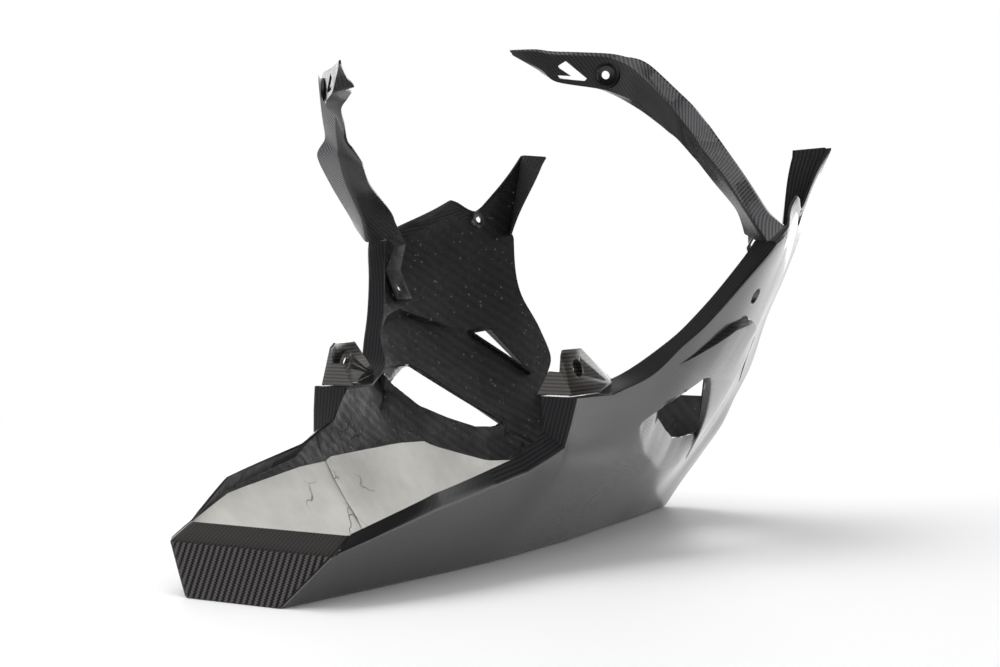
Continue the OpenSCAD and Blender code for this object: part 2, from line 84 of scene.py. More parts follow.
# Carbon fibre in 2/2 twill, hand laid, cured and polished under a clear coat: dark cloth whose
# diagonal ribs are painted in, warp lighter than weft, where the light catches the fibres, below a smooth wet-looking
# gloss
def clearCoatedTwill(name, look):
    material, tree = newMaterial(name)
    uv = addNode(tree, "ShaderNodeUVMap", uv_map="cloth")
    tows = addNode(tree, "ShaderNodeMapping", {"Vector": uv.outputs[0], "Rotation": (0, 0, math.radians(look["turn"])),
                                              "Scale": (1 / look["tow"],) * 3}, vector_type="POINT")
    axes = addNode(tree, "ShaderNodeSeparateXYZ", {0: tows.outputs[0]})
    column = addNode(tree, "ShaderNodeMath", {0: axes.outputs[0]}, operation="FLOOR")
    row = addNode(tree, "ShaderNodeMath", {0: axes.outputs[1]}, operation="FLOOR")
    step = addNode(tree, "ShaderNodeMath", {0: column.outputs[0], 1: row.outputs[0]}, operation="SUBTRACT")
    turn = addNode(tree, "ShaderNodeMath", {0: step.outputs[0], 1: 4.0}, operation="FLOORED_MODULO")
    litWarp = addNode(tree, "ShaderNodeMath", {0: turn.outputs[0], 1: 1.5}, operation="LESS_THAN")
    # each tow is a rounded bundle, so it is high in the middle and low at its sides
    crowns = []
    for axis in (0, 1):
        across = addNode(tree, "ShaderNodeMath", {0: axes.outputs[axis]}, operation="FRACT")
        side = addNode(tree, "ShaderNodeMath", {0: across.outputs[0], 1: 0.5}, operation="SUBTRACT")
        square = addNode(tree, "ShaderNodeMath", {0: side.outputs[0], 1: side.outputs[0]}, operation="MULTIPLY")
        crowns.append(addNode(tree, "ShaderNodeMath", {0: square.outputs[0], 1: -4.0, 2: 1.0}, operation="MULTIPLY_ADD"))
    height = addNode(tree, "ShaderNodeMix", {0: litWarp.outputs[0], 2: crowns[1].outputs[0], 3: crowns[0].outputs[0]},
                     data_type="FLOAT")
    # fibres within a tow differ a little in shade, and so does the cloth from place to place
    strands = addNode(tree, "ShaderNodeTexNoise", {"Vector": tows.outputs[0], "Scale": 1.4, "Detail": 3.0})
    drift = addNode(tree, "ShaderNodeTexNoise", {"Vector": uv.outputs[0], "Scale": look["driftScale"], "Detail": 2.0})
    # painted sheen: the same fibre is painted lighter on the warp tows and darker on the weft tows, as the light
    # catches them
    tint = addNode(tree, "ShaderNodeMix", {0: litWarp.outputs[0], 6: hexLinear(look["shadedWeft"]), 7: hexLinear(look["litWarp"])},
                   data_type="RGBA")
    # the low sides of each tow are painted darker: painted shade in the grooves between tows
    shade = addNode(tree, "ShaderNodeMapRange", {0: height.outputs[0], 1: 0.0, 2: 1.0, 3: look["grooveShade"], 4: 1.0})
    mottle = addNode(tree, "ShaderNodeMapRange", {0: strands.outputs[0], 1: 0.3, 2: 0.7, 3: 0.86, 4: 1.14})
    wash = addNode(tree, "ShaderNodeMapRange", {0: drift.outputs[0], 1: 0.3, 2: 0.7, 3: 1 - look["drift"],
                                                4: 1 + look["drift"]})
    both = addNode(tree, "ShaderNodeMath", {0: shade.outputs[0], 1: mottle.outputs[0]}, operation="MULTIPLY")
    all3 = addNode(tree, "ShaderNodeMath", {0: both.outputs[0], 1: wash.outputs[0]}, operation="MULTIPLY")
    colour = addNode(tree, "ShaderNodeVectorMath", {0: tint.outputs[2], "Scale": all3.outputs[0]}, operation="SCALE")
    relief = addNode(tree, "ShaderNodeBump", {"Height": height.outputs[0], "Strength": look["relief"], "Distance": 0.0004})
    # the coat itself has a faint wave from hand polishing
    wave = addNode(tree, "ShaderNodeTexNoise", {"Vector": uv.outputs[0], "Scale": 18.0, "Detail": 1.0})
    peel = addNode(tree, "ShaderNodeBump", {"Height": wave.outputs[0], "Strength": 0.10, "Distance": 0.002})
    skin = addNode(tree, "ShaderNodeBsdfPrincipled", {
        "Base Color": colour.outputs[0], "Metallic": 0.0, "Roughness": look["roughness"], "IOR": 1.5,
        "Specular IOR Level": look["sheen"], "Coat Weight": look["coat"], "Coat Roughness": look["coatRoughness"],
        "Coat IOR": look["coatIor"],
        "Normal": relief.outputs[0], "Coat Normal": peel.outputs[0]})
    addNode(tree, "ShaderNodeOutputMaterial", {0: skin.outputs[0]})
    return material


# The raw side of the laminate, as it leaves the bag: resin-rich and semi-gloss, with a faint print
# of the cloth, painted glints of bare resin, and fine creases of the bag film low in the trough, painted darker as
# shade
def baggedLaminate(name, look):
    material, tree = newMaterial(name)
    uv = addNode(tree, "ShaderNodeUVMap", uv_map="cloth")
    axes = addNode(tree, "ShaderNodeSeparateXYZ", {0: uv.outputs[0]})
    warpNoise = addNode(tree, "ShaderNodeTexNoise", {"Vector": uv.outputs[0], "Scale": 45.0, "Detail": 4.0})
    bent = addNode(tree, "ShaderNodeVectorMath", {0: warpNoise.outputs[1], 1: (0.5, 0.5, 0.5)}, operation="SUBTRACT")
    push = addNode(tree, "ShaderNodeVectorMath", {0: bent.outputs[0], "Scale": 0.03}, operation="SCALE")
    place = addNode(tree, "ShaderNodeVectorMath", {0: uv.outputs[0], 1: push.outputs[0]}, operation="ADD")
    creases = addNode(tree, "ShaderNodeTexVoronoi", {"Vector": place.outputs[0], "Scale": look["creases"]},
                      feature="DISTANCE_TO_EDGE")
    line = addNode(tree, "ShaderNodeMapRange", {0: creases.outputs[0], 1: 0.0, 2: 0.02, 3: 1.0, 4: 0.0})
    low = addNode(tree, "ShaderNodeMapRange", {0: axes.outputs[1], 1: 0.13, 2: 0.23, 3: 1.0, 4: 0.0})
    somewhere = addNode(tree, "ShaderNodeTexNoise", {"Vector": uv.outputs[0], "Scale": 16.0, "Detail": 1.0})
    patch = addNode(tree, "ShaderNodeMapRange", {0: somewhere.outputs[0], 1: 0.46, 2: 0.58, 3: 0.0, 4: 1.0})
    lowPatch = addNode(tree, "ShaderNodeMath", {0: low.outputs[0], 1: patch.outputs[0]}, operation="MULTIPLY")
    shown = addNode(tree, "ShaderNodeMath", {0: line.outputs[0], 1: lowPatch.outputs[0]}, operation="MULTIPLY")
    lumps = addNode(tree, "ShaderNodeTexNoise", {"Vector": uv.outputs[0], "Scale": 160.0, "Detail": 6.0, "Roughness": 0.6})
    # ribs of the cloth 5 mm apart show through the resin
    ribs = addNode(tree, "ShaderNodeTexWave", {"Vector": uv.outputs[0], "Scale": 45.0, "Distortion": 1.5, "Detail": 2.0,
                                              "Detail Scale": 2.0}, wave_type="BANDS", bands_direction="DIAGONAL")
    heightA = addNode(tree, "ShaderNodeMath", {0: ribs.outputs[1], 1: 0.3, 2: lumps.outputs[0]}, operation="MULTIPLY_ADD")
    heightB = addNode(tree, "ShaderNodeMath", {0: shown.outputs[0], 1: -1.0, 2: heightA.outputs[0]}, operation="MULTIPLY_ADD")
    relief = addNode(tree, "ShaderNodeBump", {"Height": heightB.outputs[0], "Strength": look["relief"], "Distance": 0.001})
    patches = addNode(tree, "ShaderNodeTexNoise", {"Vector": uv.outputs[0], "Scale": 50.0, "Detail": 6.0, "Roughness": 0.65})
    shine = addNode(tree, "ShaderNodeMapRange", {0: patches.outputs[0], 1: 0.42, 2: 0.62, 3: look["dull"], 4: look["wet"]})
    tone = addNode(tree, "ShaderNodeMapRange", {0: patches.outputs[0], 1: 0.35, 2: 0.68, 3: 0.75, 4: 1.2})
    # the creases are painted darker as well: painted shade in the creases
    dark = addNode(tree, "ShaderNodeMapRange", {0: shown.outputs[0], 1: 0.0, 2: 1.0, 3: 1.0, 4: 0.25})
    bandTone = addNode(tree, "ShaderNodeMapRange", {0: ribs.outputs[1], 1: 0.0, 2: 1.0, 3: 0.82, 4: 1.15})
    # the colour is darker toward the top of the front
    reach = addNode(tree, "ShaderNodeMath", {0: axes.outputs[0], 1: axes.outputs[1]}, operation="ADD")
    front = addNode(tree, "ShaderNodeMapRange", {0: reach.outputs[0], 1: 0.66, 2: 0.92, 3: 1.0, 4: 0.35})
    first = addNode(tree, "ShaderNodeMath", {0: tone.outputs[0], 1: dark.outputs[0]}, operation="MULTIPLY")
    second = addNode(tree, "ShaderNodeMath", {0: first.outputs[0], 1: bandTone.outputs[0]}, operation="MULTIPLY")
    third = addNode(tree, "ShaderNodeMath", {0: second.outputs[0], 1: front.outputs[0]}, operation="MULTIPLY")
    # painted glints: about one glint in every hundred cells of 1.4 mm, painted several times brighter
    cells = addNode(tree, "ShaderNodeTexVoronoi", {"Vector": uv.outputs[0], "Scale": 700.0})
    lottery = addNode(tree, "ShaderNodeSeparateColor", {0: cells.outputs[1]})
    glint = addNode(tree, "ShaderNodeMath", {0: lottery.outputs[0], 1: 0.993}, operation="GREATER_THAN")
    lift = addNode(tree, "ShaderNodeMath", {0: glint.outputs[0], 1: 3.0, 2: third.outputs[0]}, operation="MULTIPLY_ADD")
    colour = addNode(tree, "ShaderNodeVectorMath", {0: hexLinear(look["colour"])[:3], "Scale": lift.outputs[0]},
                     operation="SCALE")
    skin = addNode(tree, "ShaderNodeBsdfPrincipled", {
        "Base Color": colour.outputs[0], "Metallic": 0.0, "Roughness": shine.outputs[0], "IOR": 1.5,
        "Normal": relief.outputs[0]})
    addNode(tree, "ShaderNodeOutputMaterial", {0: skin.outputs[0]})
    return material


# Aluminium foil on a glued backing, rubbed down by hand: pale and satin, crumpled, with soft grey
# clouds and brown cracks where it was folded over itself
def rubbedFoil(name, look):
    material, tree = newMaterial(name)
    uv = addNode(tree, "ShaderNodeUVMap", uv_map="cloth")
    warpNoise = addNode(tree, "ShaderNodeTexNoise", {"Vector": uv.outputs[0], "Scale": 14.0, "Detail": 4.0})
    bent = addNode(tree, "ShaderNodeVectorMath", {0: warpNoise.outputs[1], 1: (0.5, 0.5, 0.5)}, operation="SUBTRACT")
    push = addNode(tree, "ShaderNodeVectorMath", {0: bent.outputs[0], "Scale": 0.09}, operation="SCALE")
    place = addNode(tree, "ShaderNodeVectorMath", {0: uv.outputs[0], 1: push.outputs[0]}, operation="ADD")
    folds = addNode(tree, "ShaderNodeTexVoronoi", {"Vector": place.outputs[0], "Scale": look["folds"]},
                    feature="DISTANCE_TO_EDGE")
    crack = addNode(tree, "ShaderNodeMapRange", {0: folds.outputs[0], 1: 0.0, 2: 0.018, 3: 0.0, 4: 1.0})
    where = addNode(tree, "ShaderNodeTexNoise", {"Vector": uv.outputs[0], "Scale": 11.0, "Detail": 2.0})
    few = addNode(tree, "ShaderNodeMapRange", {0: where.outputs[0], 1: 0.57, 2: 0.64, 3: 1.0, 4: 0.0})
    shown = addNode(tree, "ShaderNodeMath", {0: crack.outputs[0], 1: few.outputs[0]}, operation="MAXIMUM")
    crumple = addNode(tree, "ShaderNodeTexNoise", {"Vector": uv.outputs[0], "Scale": 100.0, "Detail": 8.0, "Roughness": 0.62,
                                                  "Distortion": 0.6})
    clouds = addNode(tree, "ShaderNodeTexNoise", {"Vector": uv.outputs[0], "Scale": 16.0, "Detail": 4.0})
    cloudMix = addNode(tree, "ShaderNodeMapRange", {0: clouds.outputs[0], 1: 0.36, 2: 0.66, 3: 0.0, 4: 1.0})
    base = addNode(tree, "ShaderNodeMix", {0: cloudMix.outputs[0], 6: hexLinear(look["grey"]), 7: hexLinear(look["pale"])},
                   data_type="RGBA")
    tint = addNode(tree, "ShaderNodeMix", {0: shown.outputs[0], 6: hexLinear(look["crack"]), 7: base.outputs[2]},
                   data_type="RGBA")
    heightA = addNode(tree, "ShaderNodeMath", {0: crumple.outputs[0], 1: 1.2, 2: shown.outputs[0]}, operation="MULTIPLY_ADD")
    relief = addNode(tree, "ShaderNodeBump", {"Height": heightA.outputs[0], "Strength": look["relief"], "Distance": 0.001})
    skin = addNode(tree, "ShaderNodeBsdfPrincipled", {
        "Base Color": tint.outputs[2], "Metallic": look["metallic"], "Roughness": look["roughness"],
        "Normal": relief.outputs[0]})
    addNode(tree, "ShaderNodeOutputMaterial", {0: skin.outputs[0]})
    return material


# Tow width 1.8 mm: four tows to a repeat give ribs 5 mm apart, as on the end of the tail
twillLook = {"turn": 0.0, "tow": 0.0018, "litWarp": "#4a4a4c", "shadedWeft": "#242426", "grooveShade": 0.62, "relief": 0.35, "sheen": 0.3,
             "roughness": 0.42, "coat": 1.0, "coatIor": 1.5, "coatRoughness": 0.03, "drift": 0.06, "driftScale": 6.0}
panelTwill = clearCoatedTwill("panelTwill", dict(twillLook, litWarp="#202022", shadedWeft="#18181a", relief=0.10, sheen=0.35, coatIor=1.85,
                                                 coatRoughness=0.12))
tailTwill = clearCoatedTwill("tailTwill", dict(twillLook, turn=-45.0, litWarp="#555153", shadedWeft="#171415", grooveShade=0.85, relief=0.15))
lipTwill = clearCoatedTwill("lipTwill", dict(twillLook, turn=-45.0, tow=0.0012, litWarp="#363432", shadedWeft="#201f1e", relief=0.2))
flangeTwill = clearCoatedTwill("flangeTwill", dict(twillLook, turn=45.0, tow=0.0012, litWarp="#2e2e30", shadedWeft="#1f1f21", sheen=0.15,
                                                   coat=0.3, coatRoughness=0.1))
armTwill = clearCoatedTwill("armTwill", dict(twillLook, turn=0.0, tow=0.0009, litWarp="#626265", shadedWeft="#313133"))
# The arms' webs are of the same cloth as their faces, in darker tints: painted shade
webTwill = clearCoatedTwill("webTwill", dict(twillLook, turn=0.0, tow=0.0009, litWarp="#2b2b2d", shadedWeft="#121213", coat=0.35,
                                             coatRoughness=0.2))
# The brackets are of a finer cloth with a brown cast in its resin
bracketTwill = clearCoatedTwill("bracketTwill", dict(twillLook, tow=0.0010, turn=45.0, litWarp="#4a4540", shadedWeft="#1c1b1a"))
rawLaminate = baggedLaminate("rawLaminate", {"creases": 34.0, "relief": 0.55, "colour": "#353537", "dull": 0.5, "wet": 0.3})
# A darker copy of the bagged side, for the inner side of the arms' webs and the wells of their holes: painted shade
darkLaminate = baggedLaminate("darkLaminate", {"creases": 60.0, "relief": 0.6, "colour": "#1b1b1d", "dull": 0.45, "wet": 0.2})
foilSkin = rubbedFoil("foilSkin", {"folds": 22.0, "relief": 1.0, "grey": "#dcdad5", "pale": "#f6f4ef", "crack": "#9c8d82",
                                  "metallic": 0.15, "roughness": 0.5})
print("materials done")

# Shape of the pan: the same stations and levels as its solid, in metres
pan = {"length": 0.670, "halfWidth": 0.205, "height": 0.331, "wall": 0.002, "middle": 0.335, "armHeight": 0.390,
       "columnStep": 0.004, "rowCount": 76, "edgeRound": 0.0018, "shoulder": 0.007, "cornerRound": 0.003}
stationShare = np.array([0, 0.17, 0.32, 0.39, 0.53, 0.60, 0.68, 0.78, 0.85, 0.90, 1.00])
levelShare = np.array([0, 0.06, 0.15, 0.24, 0.33, 0.42, 0.52, 0.64, 0.76, 0.88, 1.00])
skinShare = np.array([
    [0.205, 0.283, 0.396, 0.50, 0.60, 0.66, 0.71, 0.76, 0.80, 0.85, 0.90],
    [0.255, 0.325, 0.440, 0.54, 0.61, 0.66, 0.71, 0.76, 0.81, 0.86, 0.90],
    [0.290, 0.355, 0.455, 0.54, 0.59, 0.63, 0.69, 0.76, 0.82, 0.87, 0.90],
    [0.295, 0.365, 0.475, 0.56, 0.59, 0.61, 0.69, 0.77, 0.84, 0.89, 0.92],
    [0.280, 0.350, 0.465, 0.57, 0.64, 0.69, 0.74, 0.82, 0.90, 0.96, 0.98],
    [0.260, 0.330, 0.450, 0.56, 0.66, 0.74, 0.80, 0.88, 0.96, 1.00, 1.00],
    [0.230, 0.300, 0.430, 0.55, 0.65, 0.74, 0.82, 0.91, 1.01, 1.05, 1.02],
    [0.200, 0.265, 0.395, 0.51, 0.61, 0.69, 0.76, 0.84, 0.91, 0.91, 0.91],
    [0.170, 0.230, 0.340, 0.45, 0.54, 0.61, 0.68, 0.77, 0.83, 0.87, 0.89],
    [0.150, 0.210, 0.320, 0.43, 0.50, 0.56, 0.62, 0.71, 0.78, 0.83, 0.85],
    [0.100, 0.150, 0.245, 0.34, 0.42, 0.47, 0.53, 0.61, 0.68, 0.74, 0.81]])
# Each column's foot X, rim X, rim Z and belt Z as shares, and whether its corner is sharp
rimShare = [[0.000, 0.028, 0.106, 0.092, 1], [0.157, 0.166, 0.175, 0.160, 1], [0.306, 0.319, 0.224, 0.195, 1],
            [0.373, 0.379, 0.272, 0.198, 1], [0.388, 0.393, 0.384, 0.205, 1], [0.455, 0.463, 0.384, 0.208, 1],
            [0.510, 0.528, 0.424, 0.210, 0], [0.545, 0.567, 0.489, 0.210, 0], [0.575, 0.602, 0.547, 0.208, 0],
            [0.612, 0.640, 0.634, 0.205, 0], [0.657, 0.681, 0.743, 0.203, 1], [0.716, 0.739, 0.783, 0.198, 1],
            [0.799, 0.833, 0.861, 0.190, 1], [0.813, 0.846, 0.855, 0.185, 0], [0.836, 0.873, 0.831, 0.175, 0],
            [0.851, 0.900, 0.843, 0.165, 0], [0.873, 0.948, 0.909, 0.150, 0], [0.896, 1.000, 1.000, 0.139, 1]]
# The flange's width, rise and forward step at each column
turnIn = [[0.003, 0.011, 0.0201], [0.003, 0.011, 0], [0.009, 0.011, 0], [0.0192, 0.011, 0], [0.032, 0, 0],
          [0.032, 0, 0], [0.0272, 0, 0], [0.018, 0, 0], [0.018, 0, 0], [0.018, 0, 0], [0.0216, 0, 0]] + [[0.003, 0, 0]] * 7
gapSplits = [3, 3, 1, 1, 2, 2, 2, 2, 2, 3, 2, 3, 1, 2, 2, 3, 3]
frontHeight = np.array([0, 0.05, 0.14, 0.30, 0.35, 0.40, 0.48, 0.59, 0.76, 0.85, 1.00])
frontStep = np.array([0, 0.003, -0.003, -0.031, -0.018, -0.004, -0.016, -0.039, -0.033, -0.025, 0])


# Smooth curve through values at rising knots, for many places at once
def curveAt(knots, values, x):
    x = np.asarray(x, float)
    table = np.broadcast_to(values, x.shape + (len(knots),)) if np.ndim(values) == 1 else values
    i = np.clip(np.searchsorted(knots, x, side="right") - 1, 0, len(knots) - 2)
    last = len(knots) - 1
    pick = lambda k: np.take_along_axis(table, k[..., None], -1)[..., 0]
    before, after = np.maximum(i - 1, 0), np.minimum(i + 2, last)
    gap = knots[i + 1] - knots[i]
    t = (x - knots[i]) / gap
    leave = (pick(i + 1) - pick(before)) / (knots[i + 1] - knots[before]) * gap
    arrive = (pick(after) - pick(i)) / (knots[after] - knots[i]) * gap
    return (pick(i) * (2 * t ** 3 - 3 * t ** 2 + 1) + leave * (t ** 3 - 2 * t ** 2 + t)
            + pick(i + 1) * (3 * t ** 2 - 2 * t ** 3) + arrive * (t ** 3 - t ** 2))


# Half width of the outer skin over places of the side view, x from the tail's foot
def skinY(x, z):
    x, z = np.asarray(x, float), np.asarray(z, float)
    rows = np.stack([curveAt(stationShare, skinShare[:, j], x / pan["length"]) for j in range(len(levelShare))], -1)
    return pan["halfWidth"] * curveAt(levelShare, rows, z / pan["height"])


knots = np.array([r[:4] + t for r, t in zip(rimShare, turnIn)], float)
sharp = [r[4] == 1 for r in rimShare]


# Sizes at a place along the rim, counted in the columns of the table above
def columnAt(i, t):
    leave = knots[i + 1] - knots[i] if sharp[i] else (knots[i + 1] - knots[i - 1]) / 2
    arrive = knots[i + 1] - knots[i] if sharp[i + 1] else (knots[i + 2] - knots[i]) / 2
    return (knots[i] * (2 * t ** 3 - 3 * t ** 2 + 1) + leave * (t ** 3 - 2 * t ** 2 + t)
            + knots[i + 1] * (3 * t ** 2 - 2 * t ** 3) + arrive * (t ** 3 - t ** 2))


columns = []
for i, parts in enumerate(gapSplits):
    span = (rimShare[i + 1][1] - rimShare[i][1]) * pan["length"]
    count = parts * max(1, round(span / parts / pan["columnStep"]))
    for s in range(count):
        columns.append((columnAt(i, s / count), (sum(gapSplits[:i]) + s / count * parts) / sum(gapSplits)))
columns.append((knots[-1], 1.0))


# X and Z of a share of the way up a column
def sidePlace(column, share):
    c, along = column
    z = share * c[2] * pan["height"]
    pull = max(0.0, (along - 0.78) / 0.22)
    bend = float(curveAt(frontHeight, frontStep, z / pan["height"]))
    return pan["length"] * (c[0] + (c[1] - c[0]) * share + bend * pull), z


def inModel(point):
    return Vector((point[0] - pan["middle"], point[1], point[2]))


def sideView(shares):
    return [(a * pan["length"], b * pan["height"]) for a, b in shares]


def segmentDistance(px, pz, a, b):
    dx, dz = b[0] - a[0], b[1] - a[1]
    t = np.clip(((px - a[0]) * dx + (pz - a[1]) * dz) / (dx * dx + dz * dz), 0, 1)
    return np.hypot(px - a[0] - t * dx, pz - a[1] - t * dz), t


# Distance to a closed outline, positive inside, with the corners' values blended by nearness
def outlineDistance(px, pz, outline, values=None):
    best, total, weights = np.full(np.shape(px), 9.0), np.zeros(np.shape(px)), np.full(np.shape(px), 1e-9)
    inside = np.zeros(np.shape(px), bool)
    for k, a in enumerate(outline):
        b = outline[(k + 1) % len(outline)]
        d, t = segmentDistance(px, pz, a, b)
        if values is not None:
            weight = 1 / (d + 2e-4) ** 2
            total = total + weight * (values[k] * (1 - t) + values[(k + 1) % len(values)] * t)
            weights = weights + weight
        best = np.minimum(best, d)
        crosses = (a[1] > pz) != (b[1] > pz)
        with np.errstate(divide="ignore", invalid="ignore"):
            reach = (b[0] - a[0]) * (pz - a[1]) / (b[1] - a[1]) + a[0]
        inside ^= crosses & (px < reach)
    return np.where(inside, best, -best), total / weights


# Cuts the faces near a closed or open line of the side view along it
def scoreLine(mesh, line, closed=True, along=Vector((0, 1, 0)), reach=0.006):
    points = [Vector((p[0], 0, p[1])) if len(p) == 2 else Vector(p) for p in line]
    for k in range(len(points) if closed else len(points) - 1):
        a, b = points[k], points[(k + 1) % len(points)]
        way = b - a
        size = way.length
        way.normalize()
        near = []
        for face in mesh.faces:
            off = face.calc_center_median() - a
            if abs(off.dot(along)) > 0.05 and along.y < 0.9:
                continue
            off -= along * off.dot(along)
            t = min(max(off.dot(way), 0), size)
            if (off - way * t).length < reach:
                near.append(face)
        geometry = list({e for f in near for e in f.edges} | {v for f in near for v in f.verts}) + near
        bmesh.ops.bisect_plane(mesh, geom=geometry, plane_co=a, plane_no=way.cross(along), dist=1e-5)


def removeInside(mesh, outline):
    faces = list(mesh.faces)
    centres = np.array([f.calc_center_median() for f in faces])
    distance, _ = outlineDistance(centres[:, 0], centres[:, 2], outline)
    bmesh.ops.delete(mesh, geom=[f for f, d in zip(faces, distance) if d > 0], context="FACES")


def grown(outline, by):
    centre = np.mean(outline, axis=0)
    result = []
    for k, p in enumerate(outline):
        a, b = np.array(outline[k - 1]), np.array(outline[(k + 1) % len(outline)])
        u = np.array(p) - a
        w = b - np.array(p)
        n1 = np.array((u[1], -u[0])) / np.hypot(*u)
        n2 = np.array((w[1], -w[0])) / np.hypot(*w)
        n = n1 + n2
        n /= max(np.dot(n, n1), 0.4)
        if np.dot(n, np.array(p) - centre) < 0:
            n = -n
        result.append(tuple(np.array(p) + n * by))
    return result


# Rounds the corner of an outline by cutting it twice
def eased(outline, by):
    result = []
    for k, p in enumerate(outline):
        p = np.array(p)
        for q in (np.array(outline[k - 1]), np.array(outline[(k + 1) % len(outline)])):
            size = np.hypot(*(q - p))
            result.append(tuple(p + (q - p) * min(by / size, 0.35)))
    return result


# Vent, scoop and screw holes of a side panel
side = {"ventRound": 0.0022, "ventWall": 0.0026, "scoopRise": 0.007, "scoopStep": 0.008, "scoopEnd": 0.003,
        "slotLip": 0.0012, "slotDepth": 0.009,
        "holeWidth": 0.0064, "seatWidth": 0.015, "seatDepth": 0.003}
# The vent's opening lies behind the skin at these places and depths, inside the funnel's outline
ventOutline = sideView([[0.562, 0.405], [0.636, 0.405], [0.655, 0.401], [0.698, 0.343], [0.778, 0.236], [0.746, 0.229],
                        [0.709, 0.234], [0.659, 0.266], [0.613, 0.303], [0.576, 0.368]])
ventDepths = [0.011, 0.007, 0.003, 0.004, 0.005, 0.008, 0.010, 0.011, 0.012, 0.012]
funnelOutline = sideView([[0.655, 0.405], [0.676, 0.390], [0.701, 0.357], [0.749, 0.283], [0.779, 0.228], [0.838, 0.153],
                          [0.762, 0.147], [0.699, 0.156], [0.611, 0.208], [0.548, 0.272], [0.536, 0.300], [0.570, 0.329]])
# The scoop stands proud below a dark step, and opens forward at its slot
scoopTop = sideView([[0.568, 0.441], [0.621, 0.500], [0.652, 0.538], [0.690, 0.556], [0.748, 0.520], [0.804, 0.485]])
scoopFoot = sideView([[0.568, 0.441], [0.665, 0.396], [0.880, 0.360]])
slotOutline = sideView([[0.801, 0.484], [0.831, 0.493], [0.880, 0.360], [0.874, 0.364]])
scoopOutline = scoopTop + [tuple(np.array(slotOutline[1]) * 0.6 + np.array(slotOutline[2]) * 0.4)] + scoopFoot[:0:-1]
holePlaces = sideView([[0.696, 0.604], [0.879, 0.803]])


# Moves a place of the side view until it lies well inside an outline
def drawnInside(place, outline, margin):
    x, z = place
    for _ in range(60):
        here = float(outlineDistance(np.array(x), np.array(z), outline)[0])
        if here >= margin:
            break
        step = 0.0004
        ahead = float(outlineDistance(np.array(x + step), np.array(z), outline)[0]) - here
        above = float(outlineDistance(np.array(x), np.array(z + step), outline)[0]) - here
        size = math.hypot(ahead, above) or 1.0
        x, z = x + ahead / size * step, z + above / size * step
    return x, z


funnelCut = eased(funnelOutline, 0.004)
ventCut = [drawnInside(p, funnelCut, side["ventWall"]) for p in ventOutline]
ventShiftX = [p[0] - q[0] for p, q in zip(ventOutline, ventCut)]
ventShiftZ = [p[1] - q[1] for p, q in zip(ventOutline, ventCut)]


def surfacePoint(x, z):
    return Vector((x, float(skinY(x, z)), z))


def surfaceNormal(x, z):
    here = surfacePoint(x, z)
    return (surfacePoint(x, z + 0.002) - here).cross(surfacePoint(x + 0.002, z) - here).normalized()


# Circle of points on the panel round a hole, as the side view sees it
def holeRing(place, radius, count=28):
    centre, normal = surfacePoint(*place), surfaceNormal(*place)
    right = normal.cross(Vector((0, 0, 1))).normalized()
    up = right.cross(normal)
    return [centre + (right * math.cos(a) + up * math.sin(a)) * radius
            for a in (2 * math.pi * k / count for k in range(count))]


def lineDistance(x, z, line):
    return np.min([segmentDistance(x, z, line[k], line[k + 1])[0] for k in range(len(line) - 1)], axis=0)


# How far the skin is pressed in, and moved along and up, at places of the side view
def pressedIn(x, z):
    funnel, _ = outlineDistance(x, z, funnelCut)
    vent, depth = outlineDistance(x, z, ventCut, ventDepths)
    _, shiftX = outlineDistance(x, z, ventCut, ventShiftX)
    _, shiftZ = outlineDistance(x, z, ventCut, ventShiftZ)
    r = side["ventRound"]
    start = np.where(funnel > r, funnel, np.where(funnel > -r, (funnel + r) ** 2 / (4 * r), 0))
    share = start / np.maximum(start + np.maximum(-vent, 0), 1e-6)
    inScoop, _ = outlineDistance(x, z, scoopOutline)
    rearTop, frontTop = lineDistance(x, z, scoopTop[:4]), lineDistance(x, z, scoopTop[3:])
    top, foot = np.minimum(rearTop, frontTop), lineDistance(x, z, scoopFoot)
    t = np.clip((x - scoopFoot[0][0]) / (scoopTop[3][0] - scoopFoot[0][0]), 0, 1)
    slot, _ = outlineDistance(x, z, slotOutline)
    fall = np.clip(-slot / 0.045, 0, 1)
    rise = fall * foot / np.maximum(foot + top, 1e-6)
    width = side["scoopStep"] * np.maximum(t, 0.15)
    edge = np.minimum(np.clip(rearTop / width, 0, 1), np.clip(frontTop / side["scoopEnd"], 0, 1))
    scoop = np.where(inScoop > 0, side["scoopRise"] * np.minimum(t * 1.6, 1) * rise * edge, 0)
    lip = side["slotDepth"] * np.clip(slot / side["slotLip"], 0, 1)
    return depth * share - scoop + lip, shiftX * share, shiftZ * share


def newMesh(name, mesh, materials):
    data = bpy.data.meshes.new(name)
    mesh.to_mesh(data)
    mesh.free()
    piece = bpy.data.objects.new(name, data)
    scene.collection.objects.link(piece)
    for material in materials:
        data.materials.append(material)
    return piece


def applyModifiers(piece):
    graph = bpy.context.evaluated_depsgraph_get()
    done = bpy.data.meshes.new_from_object(piece.evaluated_get(graph))
    old = piece.data
    piece.modifiers.clear()
    piece.data = done
    bpy.data.meshes.remove(old)


def smoothBelow(piece, degrees):
    piece.data.shade_smooth()
    piece.data.set_sharp_from_angle(angle=math.radians(degrees))


# Grid of points as faces, with the cloth's coordinates in metres and a material for each row of faces
def addGrid(mesh, cloth, points, coordinates, material=0, flip=False):
    verts = [[mesh.verts.new(p) for p in row] for row in points]
    for i in range(len(points) - 1):
        for j in range(len(points[0]) - 1):
            corners = [(i, j), (i + 1, j), (i + 1, j + 1), (i, j + 1)]
            if flip:
                corners.reverse()
            face = mesh.faces.new([verts[a][b] for a, b in corners])
            face.material_index = material if isinstance(material, int) else material(i, j)
            for loop, (a, b) in zip(face.loops, corners):
                loop[cloth].uv = coordinates(a, b)
    return verts


# The pan itself: one sheet, pressed, trimmed and given its thickness
skinMaterial, rawMaterial, tailMaterial, lipMaterial, flangeMaterial = range(5)


